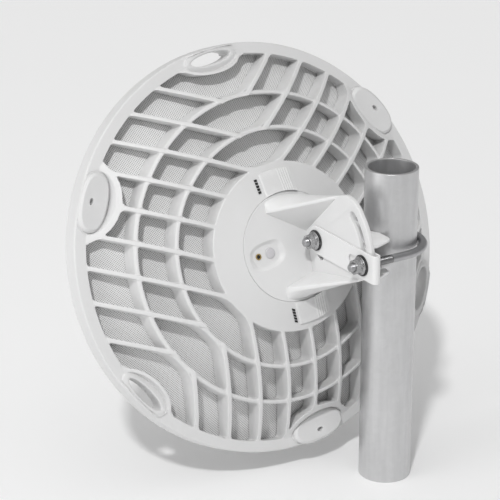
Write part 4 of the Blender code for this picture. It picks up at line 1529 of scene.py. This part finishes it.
@dataclass
class TiltBracket(Assembly):
    """Disc in the hub, upright plate with its slots, and two slanted webs.

    The plain loops only even out the disc's mesh. A slot is its radius and two end angles in degrees.
    """

    body: Body = Body.HEAD
    disc_radius: float = 0.0528
    disc_top: float = HUB.disc_top
    disc_bottom: float = 0.0700
    disc_edge: float = 0.0006
    edge_loops: Point = (0.0003, 0.0007)
    plain_centre: Point = (0.012, 0.0)
    plain_loops: Point = (0.014, 0.026)
    recess_centre: Point = (-0.0280, -0.0037)
    recess_half: Point = (0.0205, 0.0138)
    recess_turn: float = radians(10.0)
    recess_depth: float = 0.0030
    recess_floor: float = 0.66
    recess_fullness: float = 2.7
    recess_loops: tuple[float, ...] = (0.30, 0.60, 0.66, 0.71, 0.76, 0.81, 0.86, 0.91, 0.96, 1.0)
    plate_face: float = 0.0560
    plate_thickness: float = 0.0044
    plate_edge: float = 0.0009
    plate_top: tuple[Point, ...] = ((-0.0470, 0.0491), (0.0358, 0.0489), (0.0432, 0.0459), (0.0478, 0.0423),
                                    (0.0518, 0.0379), (0.0546, 0.0337))
    plate_low: tuple[Point, ...] = ((0.0498, -0.0297), (0.0348, -0.0317), (-0.0470, -0.0362))
    rear_centre: Point = (0.0038, 0.0013)
    rear_radius: float = 0.0592
    rear_sweep: float = radians(27.0)
    front_slot: Triple = (0.02635, 159.0, 194.8)
    rear_slot: Triple = (0.05035, -21.5, 35.1)
    slot_half: float = 0.0046
    behind_disc: float = 0.04404
    skirt_radius: float = 0.0505
    skirt_curve: Triple = (1.15, 1.25, 0.96)
    web_tip: float = 0.0008
    web_edge: float = 0.0013
    web_root: float = 0.003
    web_steps: int = 24
    plate_bite: float = 0.6
    webs: tuple[Web, ...] = (
        Web("upper", 1.0, -0.0222, 0.0182, (0.0418, 0.0175), (0.0413, 0.0464), (0.0443, 0.0490)),
        Web("lower", -1.0, -0.0145, 0.0349, (-0.0317, -0.0219), (-0.0317, -0.0295), (-0.0359, -0.0319)))
    button: Triple = (-0.0234, -0.0023, 0.0052)
    button_rise: float = 0.0017
    button_wall: float = 0.0005
    button_dome: float = 0.0009
    screw: Triple = (-0.0366, -0.0035, 0.0030)
    screw_bore: float = 0.0019
    screw_rise: float = 0.0010
    bore_shade_rise: Point = (0.00055, 0.00045)
    bore_shade_gap: float = 0.0002

    def recess_spot(self, share: float, turn: float) -> Point:
        """Point of the disc on a larger or smaller copy of the recess's edge."""
        along = blunt(cos(turn), self.recess_fullness) * self.recess_half[0] * share
        across = blunt(sin(turn), self.recess_fullness) * self.recess_half[1] * share
        c, s = cos(self.recess_turn), sin(self.recess_turn)
        x, y = self.recess_centre
        return (x + along * c - across * s, y + along * s + across * c)

    def recess_share(self, x: float, y: float) -> float:
        """How far out a point lies in the recess: 0 at its middle, 1 at its edge."""
        along, across = read_off(self.recess_turn, x - self.recess_centre[0], y - self.recess_centre[1])
        along, across = abs(along) / self.recess_half[0], abs(across) / self.recess_half[1]
        power = self.recess_fullness
        return (along ** power + across ** power) ** (1.0 / power)

    def disc_back(self, x: float, y: float) -> float:
        """Depth of the disc's back, with its recess and rounded rim."""
        inside = max(self.disc_radius - hypot(x, y), 0.0)
        share = 1.0 - ease(self.recess_share(x, y), self.recess_floor, 1.0)
        return self.disc_top - self.recess_depth * share - edge_drop(inside, self.disc_edge)

    def build_disc(self) -> None:
        """Build the disc."""
        loops = [Shapes.circle(self.disc_radius - inside, 128) for inside in self.edge_loops]
        for share in self.recess_loops:
            loops.append([self.recess_spot(share, 2.0 * pi * step / 72) for step in range(72)])
        loops.extend(Shapes.circle(radius, 48, self.plain_centre) for radius in self.plain_loops)
        shape = Shapes.layered(Shapes.circle(self.disc_radius, 128), [], self.disc_back,
                               lambda x, y: self.disc_bottom, loops)
        self.add("bracket_disc", shape, BRACKET_PLASTIC, PLACE.dish(), "tilt_bracket", 40.0, even=True)

    def slot_loop(self, radius: float, low: float, high: float) -> Loop:
        """An arc slot about the tilt axis, its ends in degrees."""
        start, end = radians(low), radians(high)
        half = self.slot_half
        caps = []
        for angle, first, last in ((start, start, start - pi), (end, end + pi, end)):
            centre = (radius * cos(angle), radius * sin(angle))
            caps.append(Shapes.arc(half, first, last, 10, centre)[1:-1])
        return (Shapes.arc(radius + half, end, start, 24) + caps[0]
                + Shapes.arc(radius - half, start, end, 24) + caps[1])

    def build_plate(self) -> None:
        """Build the upright plate."""
        rear = Shapes.arc(self.rear_radius, self.rear_sweep, -self.rear_sweep, 28, self.rear_centre)
        outline = Shapes.counter_clockwise([*self.plate_top, *rear, *self.plate_low])
        slots = [self.slot_loop(*self.front_slot), self.slot_loop(*self.rear_slot)]
        shape = Shapes.slab(outline, slots, self.plate_thickness, self.plate_edge)
        lay = stood_up(self.plate_face - self.plate_thickness / 2.0)
        self.add("bracket_plate", shape, BRACKET_PLASTIC, PLACE.head() @ lay, "tilt_bracket")

    def web_section(self, web: Web, x: float, share: float) -> list[Triple]:
        """Section of a web across the dish, in the head frame.

        Args:
            web: The web's sizes.
            x: The section's place in the dish frame.
            share: How far along the web it lies.

        Returns:
            The section's points.
        """
        root = -self.behind_disc
        reach = self.web_tip + (web.rear + self.behind_disc - self.web_tip) * share
        foot, inner, outer = (between(ends, share) for ends in (web.foot, web.inner, web.outer))
        skirt = web.side * sqrt(self.skirt_radius ** 2 - x * x) + PLACE.pivot_below_axis
        size = min(self.web_edge, reach * 0.4)
        profile = [(root - self.web_root, foot, 0.0), (root, foot, 0.0), (root + reach, inner, size),
                   (root + reach, outer, size)]
        back_power, up_power, limit = self.skirt_curve
        for step in range(1, 8):
            left = 1.0 - step / 8.0
            bulge = outer + (skirt - outer) * (1.0 - left ** up_power)
            profile.append((root + reach * left ** back_power * limit, bulge, 0.0))
        profile += [(root, skirt, 0.0), (root - self.web_root, skirt, 0.0)]
        return [(PLACE.axis_x - x, back, up) for back, up in Shapes.rounded(profile, 4)]

    def build_web(self, web: Web) -> None:
        """Build one web, its rear end let into the plate."""
        plate_x = PLACE.axis_x - self.plate_face
        sections = []
        for step in range(self.web_steps + 1):
            share = step / self.web_steps
            sections.append(self.web_section(web, between((web.tip_across, plate_x), share), share))
        sections.append(self.web_section(web, plate_x + self.plate_thickness * self.plate_bite, 1.0))
        self.add("bracket_web_" + web.label, Shapes.lofted(sections), BRACKET_PLASTIC, PLACE.head(),
                 "tilt_bracket", 38.0)

    def build_details(self) -> None:
        """Build the button and the threaded insert in the recess, with a black disc in the insert's bore as
        painted shade.
        """
        floor = self.disc_top - self.recess_depth
        low = floor + GAP
        x, y, radius = self.button
        top = floor + self.button_rise
        crown = [(0.0, top)]
        for share in (0.3, 0.6, 0.8, 0.92, 0.98):
            crown.append((radius * share, top - self.button_dome * share ** 4))
        crown += [(radius, floor + self.button_wall), (radius, low), (0.0, low)]
        place = PLACE.dish() @ Matrix.Translation((x, y, 0.0))
        self.add("recess_button", Shapes.turned(crown, 48), BUTTON_PLASTIC, place, "disc_button")
        x, y, radius = self.screw
        place = PLACE.dish() @ Matrix.Translation((x, y, 0.0))
        bore, top = self.screw_bore, floor + self.screw_rise
        ring = Shapes.rounded([(bore, low, 0.0), (radius, low, 0.0), (radius, top, 0.0003),
                               (bore, top, 0.0003)])
        self.add("insert_ring", Shapes.revolve(ring, 40), INSERT_BRASS, place, "earth_screw")
        # A black disc just inside the bore: painted shade for the hole's dark inside.
        bore -= self.bore_shade_gap
        bore_shade = [(0.0, floor + self.bore_shade_rise[0]), (bore, floor + self.bore_shade_rise[1]), (bore, low), (0.0, low)]
        self.add("insert_bore_shade", Shapes.turned(bore_shade, 32), BLACK_PRINT_AND_SHADE, place)

    def build(self) -> None:
        """Build the bracket."""
        self.build_disc()
        self.build_plate()
        for web in self.webs:
            self.build_web(web)
        self.build_details()


@dataclass
class Feed(Assembly):
    """Reflector sheet, core inside the hub, feed tube and feed cap."""

    body: Body = Body.HEAD
    tube: float = 0.0150
    tube_clear: float = 0.0010
    tube_start: float = 0.0687
    cap: float = 0.0290
    join: float = -0.0600
    tip: float = -0.0900
    dome: float = 0.0135
    dome_power: float = 0.9
    core: float = 0.0500
    core_back: float = 0.0697
    core_front: Triple = (0.0630, 0.0600, 0.0592)
    core_land: float = 0.006

    def tube_profile(self) -> list[Point]:
        """Outline of the feed tube, with a groove behind the sheet and one at the cap."""
        wall, join, start = self.tube, self.join, self.tube_start
        return [(0.0, start), (wall, start), (wall, 0.0520), (wall - 0.0006, 0.0515), (wall - 0.0006, 0.0495),
                (wall, 0.0490), (wall, join + 0.0060), (wall - 0.0005, join + 0.0055),
                (wall - 0.0005, join + 0.0030), (wall, join + 0.0025), (wall, join), (0.0, join)]

    def cap_profile(self) -> list[Point]:
        """Outline of the feed cap, with a parting groove and a domed front."""
        cap, tip, join = self.cap, self.tip, self.join
        back = [(0.0, join - GAP), (cap - 0.0040, join - GAP), (cap - 0.0018, join - 0.0009),
                (cap - 0.0004, join - 0.0030), (cap, join - 0.0055), (cap, tip + 0.0165),
                (cap - 0.0006, tip + 0.0161), (cap - 0.0006, tip + 0.0149), (cap, tip + 0.0145)]
        front = [(cap * cos(angle), tip + self.dome - self.dome * sin(angle) ** self.dome_power)
                 for angle in [pi / 2.0 * step / 14 for step in range(14)]]
        return back + front + [(0.0, tip)]

    def build(self) -> None:
        """Build the feed and dress the sheet."""
        self.dress("reflector_mesh", MESH_SHEET)
        bore = self.tube + self.tube_clear
        outline = [(bore, self.core_back, 0.0), (bore, self.core_front[0], 0.0004),
                   (self.core - self.core_land, self.core_front[1], 0.002),
                   (self.core, self.core_front[2], 0.0005), (self.core, self.core_back, 0.0)]
        core = Shapes.revolve(Shapes.rounded(outline), 96)
        self.add("core_ring", core, CORE_PLASTIC, PLACE.dish(), "radio_core")
        self.add("feed_stem", Shapes.turned(self.tube_profile(), 72), FEED_PLASTIC, PLACE.dish(), "feed_tube")
        self.add("feed_head", Shapes.turned(self.cap_profile(), 96), FEED_PLASTIC, PLACE.dish(), "feed_cap")


@dataclass
class UprightPipe(Assembly):
    """Length of galvanised tube that the clamp grips."""

    body: Body = Body.PIPE
    radius: float = 0.0254
    wall: float = 0.0030
    height: float = 0.317
    edge: float = 0.0006

    def build(self) -> None:
        """Build the tube."""
        bore = self.radius - self.wall
        profile = Shapes.rounded([(bore, 0.0, self.edge), (self.radius, 0.0, self.edge),
                                  (self.radius, self.height, self.edge), (bore, self.height, self.edge)], 4)
        self.add("galvanised_tube", Shapes.revolve(profile, 128), PIPE_ZINC, Matrix.Identity(4), "pole", 50.0)


@dataclass
class PoleClamp(Assembly):
    """Channel strip, jaw, U-bolt, washers and nuts."""

    body: Body = Body.CLAMP
    height: float = PLACE.pivot[2]
    leg_spacing: float = 0.0767
    leg_radius: float = 0.0040
    leg_tip: float = 0.0165
    plate_face: float = TiltBracket.plate_face
    plate_thickness: float = TiltBracket.plate_thickness
    play: float = 0.0006
    strip_half: float = 0.0138
    strip_wall: float = 0.0019
    strip_rear: float = 0.0148
    strip_edge: float = 0.0008
    edge_loops: Triple = (0.0, 0.0002, 0.0008)
    bend_margin: float = 0.001
    slot_length: float = 0.0188
    slot_before_leg: float = 0.0089
    jaw_wall: float = 0.0024
    jaw_half: float = 0.0172
    jaw_back_half: float = 0.0330
    jaw_outline: tuple[Point, ...] = ((0.0405, 0.0), (0.0418, 0.0050), (0.0345, 0.0235), (0.0315, 0.0262),
                                      (0.0270, 0.0272))
    jaw_corners: tuple[float, ...] = (0.0012, 0.0020, 0.0040, 0.0016, 0.0016, 0.0012)
    jaw_slope: float = radians(60.0)
    jaw_clear: float = 0.0002
    flange_edge: float = 0.0006
    back_edge: float = 0.0005
    back_margin: float = 0.0004
    back_corner: float = 0.0015
    pipe_radius: float = UprightPipe.radius
    washer_radius: float = 0.0100
    washer_height: float = 0.0015
    nut_half: float = 0.0065
    nut_flange: float = 0.0024
    nut_profile: tuple[Point, ...] = ((0.0087, 0.0), (0.0089, 0.0002), (0.0089, 0.0010), (0.0087, 0.0013),
                                      (0.0080, 0.0018), (0.0077, 0.0022), (0.0076, 0.0026), (0.0076, 0.0068),
                                      (0.0074, 0.0073), (0.0070, 0.0077), (0.0065, 0.0080))
    nut_chamfer: float = 0.0004
    bolt_sides: int = 20
    bend_steps: int = 40
    thread_pitch: float = 0.00125
    thread_depth: float = 0.0005
    thread_length: float = 0.0475
    thread_fade: float = 0.003
    thread_overrun: float = 0.001
    end_length: float = 0.0055
    end_chamfer: Point = (0.0011, 1.1)

    def stadium(self, length: float, inside: float, bends: Sequence[float]) -> Loop:
        """Outline of the flat strip, drawn in by a distance."""
        half = self.strip_half - inside
        near = Shapes.arc(half, pi / 2.0, 1.5 * pi, 24)
        far = Shapes.arc(half, -pi / 2.0, pi / 2.0, 24, (length, 0.0))
        return near + [(u, -half) for u in bends] + far + [(u, half) for u in reversed(bends)]

    @staticmethod
    def round_slot(length: float, radius: float, at: float) -> Loop:
        """Round hole, or a slot along the strip when its length isn't zero."""
        right = Shapes.arc(radius, -pi / 2.0, pi / 2.0, 14, (at + length / 2.0, 0.0))
        left = Shapes.arc(radius, pi / 2.0, 1.5 * pi, 14, (at - length / 2.0, 0.0))
        return right[:-1] + left[:-1] if length == 0.0 else right + left

    def build_strip(self) -> None:
        """Build the folded strip: drawn flat, then bent round the plate."""
        half = self.leg_spacing / 2.0
        rear = half + self.strip_rear
        straight = rear + half
        inside = self.plate_thickness / 2.0 + GAP
        fold = pi * (inside + self.strip_wall / 2.0)
        length = 2.0 * straight + fold
        bends = [straight + fold * index / 20.0 for index in range(21)]
        bore = self.leg_radius + self.play
        slot_at = self.leg_spacing - self.slot_before_leg
        places = ((0.0, 0.0), (0.0, length), (self.slot_length, slot_at),
                  (self.slot_length, length - slot_at))
        relief = Relief()
        for step in self.edge_loops:
            drop = edge_drop(step, self.strip_edge)
            relief.add(self.stadium(length, step, bends), drop, crease=step > 0.0)
            for slot_length, at in places:
                relief.add(self.round_slot(slot_length, bore + step, at), drop, crease=step > 0.0)
        across = self.strip_half - self.bend_margin
        for bend in bends:
            relief.add([(bend, -across), (bend, across)], 0.0, closed=False)
        relief.settle()
        holes = [self.round_slot(slot_length, bore, at) for slot_length, at in places]
        shape = Shapes.layered(self.stadium(length, 0.0, bends), holes,
                               lambda x, y: self.strip_wall - relief.below(x, y), relief.below,
                               relief.loops, relief.lines)
        middle = self.plate_face - self.plate_thickness / 2.0
        for vert in shape.verts:
            along, up, out = vert.co
            reach = inside + out
            if along <= straight:
                vert.co = (middle + reach, -half + along, up)
            elif along >= straight + fold:
                vert.co = (middle - reach, rear - (along - straight - fold), up)
            else:
                angle = pi * (along - straight) / fold
                vert.co = (middle + reach * cos(angle), rear + reach * sin(angle), up)
        self.add("channel_strip", shape, CLAMP_PAINT, Matrix.Translation((0.0, 0.0, self.height)),
                 "clamp_strip", 40.0, even=True)

    def jaw_shape(self, near: float) -> Loop:
        """Outline of one flange of the jaw, its V against the pipe; near is the depth of the jaw's back."""
        apex = (self.pipe_radius + GAP + self.jaw_clear) / sin(self.jaw_slope)
        side = [(near - step, y) for y, step in self.jaw_outline]
        tip = side[-1][0]
        side.append((tip, (apex - tip) * tan(self.jaw_slope)))
        corners = side + [(apex, 0.0)] + [(x, -y) for x, y in reversed(side)]
        sizes = [*self.jaw_corners, self.jaw_corners[-1], *reversed(self.jaw_corners)]
        return Shapes.rounded([(x, y, size) for (x, y), size in zip(corners, sizes)], 4)

    def build_jaw(self) -> None:
        """Build the jaw's back and its two flanges."""
        near = self.plate_face - self.plate_thickness - 2.0 * GAP - self.strip_wall
        outline = Shapes.counter_clockwise(self.jaw_shape(near))
        level = self.jaw_half - self.jaw_wall / 2.0
        for label, up in (("lower", -level), ("upper", level)):
            flange = Shapes.slab(outline, [], self.jaw_wall, self.flange_edge)
            place = Matrix.Translation((0.0, 0.0, self.height + up))
            self.add("jaw_flange_" + label, flange, CLAMP_PAINT, place, "pole_jaw")
        half = self.jaw_half - self.back_margin
        corners = ((-self.jaw_back_half, -half), (self.jaw_back_half, -half), (self.jaw_back_half, half),
                   (-self.jaw_back_half, half))
        back = Shapes.rounded([(x, y, self.back_corner) for x, y in corners])
        self.add("jaw_back", Shapes.slab(back, [], self.jaw_wall, self.back_edge), CLAMP_PAINT,
                 stood_up(near - self.jaw_wall / 2.0, 0.0, self.height), "pole_jaw")

    def bolt_path(self) -> list[tuple[Vector, float]]:
        """Points along the U-bolt, each with its distance from the nearer tip."""
        bend = self.leg_spacing / 2.0
        centre = -(self.pipe_radius + GAP + self.leg_radius) + bend
        tip = self.plate_face + self.leg_tip
        step = self.thread_pitch / 5.0
        steps = int((self.thread_length + self.thread_overrun) / step)
        leg = [(tip - step * index, step * index) for index in range(steps + 1)]
        made = [(Vector((x, -bend, self.height)), away) for x, away in leg]
        for index in range(self.bend_steps + 1):
            angle = -pi / 2.0 - pi * index / self.bend_steps
            made.append((Vector((centre + bend * cos(angle), bend * sin(angle), self.height)), 1.0))
        made += [(Vector((x, bend, self.height)), away) for x, away in reversed(leg)]
        return made

    def bolt_radius(self, away: float, angle: float) -> float:
        """Radius of the bolt at a distance from its tip, with thread and end chamfer."""
        radius = self.leg_radius
        if away < self.thread_length:
            turn = (away / self.thread_pitch - angle / (2.0 * pi)) % 1.0
            fade = ease(self.thread_length - away, 0.0, self.thread_fade)
            radius -= self.thread_depth * (1.0 - abs(2.0 * turn - 1.0)) * fade
        return min(radius, self.leg_radius - self.end_chamfer[0] + away * self.end_chamfer[1])

    def build_bolt(self) -> None:
        """Build the U-bolt with its threads."""
        path = self.bolt_path()
        spots = []
        for index, (point, away) in enumerate(path):
            along = (path[min(index + 1, len(path) - 1)][0] - path[max(index - 1, 0)][0]).normalized()
            across = Vector((-along.y, along.x, 0.0))
            hand = 1.0 if index < len(path) / 2 else -1.0
            ring = []
            for side in range(self.bolt_sides):
                angle = 2.0 * pi * side / self.bolt_sides
                offset = across * cos(angle) + Vector((0.0, 0.0, 1.0)) * sin(angle)
                ring.append(point + offset * self.bolt_radius(away, angle * hand))
            spots.append(ring)
        first_leg = [away for _, away in path[:len(path) // 2]]
        count = sum(1 for away in first_leg if away <= self.thread_length)
        short = sum(1 for away in first_leg if away <= self.end_length)
        for name, part, finish in (("end_pivot", spots[:short], BOLT_STEEL),
                                   ("thread_pivot", spots[short - 1:count], THREAD_STEEL),
                                   ("bent_bolt", spots[count - 1:1 - count], BOLT_STEEL),
                                   ("thread_slot", spots[-count:1 - short], THREAD_STEEL),
                                   ("end_slot", spots[-short:], BOLT_STEEL)):
            self.add(name, Shapes.lofted(part), finish, Matrix.Identity(4), "u_bolt")

    def nut_reach(self, radius: float, height: float, angle: float) -> float:
        """Radius of the nut, six-sided above its flange."""
        sixth = (angle + pi / 6.0) % (pi / 3.0) - pi / 6.0
        return min(radius, self.nut_half / cos(sixth)) if height > self.nut_flange else radius

    def build_nut(self, leg: Leg) -> None:
        """Build the washer, coloured near-black as painted shade behind the nut's flange, and the flange nut
        on one leg.
        """
        bore = self.leg_radius + GAP
        seat = self.plate_face + GAP + self.strip_wall + GAP
        lay = stood_up(seat, leg.value * self.leg_spacing / 2.0, self.height)
        label = leg.name.lower()
        rim, top = self.washer_radius, self.washer_height
        ring = Shapes.rounded([(bore, 0.0, 0.0), (rim, 0.0, 0.0002), (rim, top, 0.0004), (bore, top, 0.0002)])
        self.add("flat_washer_" + label, Shapes.revolve(ring, 56), WASHER_PAINTED_SHADE, lay, "washer_" + label)
        top = self.nut_profile[-1][1]
        profile = [(bore, 0.0), *self.nut_profile, (bore + self.nut_chamfer, top),
                   (bore, top - self.nut_chamfer)]
        self.add("flange_nut_" + label, Shapes.revolve(profile, 72, self.nut_reach), NUT_STEEL,
                 lay @ Matrix.Translation((0.0, 0.0, self.washer_height + GAP)), "nut_" + label, 24.0)

    def build(self) -> None:
        """Build the clamp."""
        self.build_strip()
        self.build_jaw()
        self.build_bolt()
        for leg in Leg:
            self.build_nut(leg)


@dataclass(frozen=True)
class SoftLight:
    """A square studio light that looks at a point."""

    label: str
    place: Triple
    aim: Triple
    size: float
    power: float

    def build(self) -> None:
        """Hang the light."""
        lamp = bpy.data.lights.new(self.label, "AREA")
        lamp.size = self.size
        lamp.energy = self.power
        look_at(put(self.label, lamp), self.place, self.aim)


@dataclass(frozen=True)
class FarLight:
    """A far light whose rays are almost parallel."""

    label: str
    toward: Triple
    spread: float
    strength: float

    def build(self) -> None:
        """Hang the light."""
        lamp = bpy.data.lights.new(self.label, "SUN")
        lamp.angle = self.spread
        lamp.energy = self.strength
        look_at(put(self.label, lamp), self.toward, (0.0, 0.0, 0.0))


@dataclass(frozen=True)
class Studio:
    """Pale floor, soft light and the camera."""

    camera_at: Triple = (1.0676, 1.4855, 0.9337)
    camera_aim: Triple = (0.0904, -0.1055, 0.2171)
    lens: float = 148.75
    floor_size: float = 60.0
    sky: float = 0.33
    lights: tuple[FarLight | SoftLight, ...] = (
        FarLight("key", (0.455, 0.480, 0.750), radians(4.0), 1.40),
        SoftLight("left_box", (2.05, -0.15, 0.80), (0.07, -0.05, 0.25), 1.3, 9.0),
        FarLight("top", (0.100, 0.120, 0.988), radians(70.0), 0.60),
    )

    def build(self) -> None:
        """Set up the stage."""
        half = self.floor_size / 2.0
        mesh = bpy.data.meshes.new("floor")
        mesh.from_pydata([(-half, -half, 0.0), (half, -half, 0.0), (half, half, 0.0), (-half, half, 0.0)], [],
                         [(0, 1, 2, 3)])
        mesh.materials.append(STUDIO_FLOOR.material())
        floor = put("floor", mesh)
        for light in self.lights:
            light.build()
        world = bpy.data.worlds.new("studio_sky")
        world.use_nodes = True
        sky = world.node_tree.nodes["Background"]
        sky.inputs["Color"].default_value = (1.0, 1.0, 1.0, 1.0)
        sky.inputs["Strength"].default_value = self.sky
        bpy.context.scene.world = world
        lens = bpy.data.cameras.new("camera")
        lens.sensor_width = 36.0
        lens.lens = self.lens
        camera = put("camera", lens)
        look_at(camera, self.camera_at, self.camera_aim)
        bpy.context.scene.camera = camera
        bpy.context.scene.view_settings.view_transform = "Standard"


def main() -> None:
    """Build every sub-assembly in order and report its pieces."""
    logging.basicConfig(level=logging.INFO, format="%(name)s %(message)s")
    Studio().build()
    for assembly in (RibbedFrame(), RimCaps(), LatchTabs(), TiltBracket(), Feed(), PoleClamp(),
                     UprightPipe()):
        assembly.build()
        assembly.report()


if __name__ == "__main__":
    main()
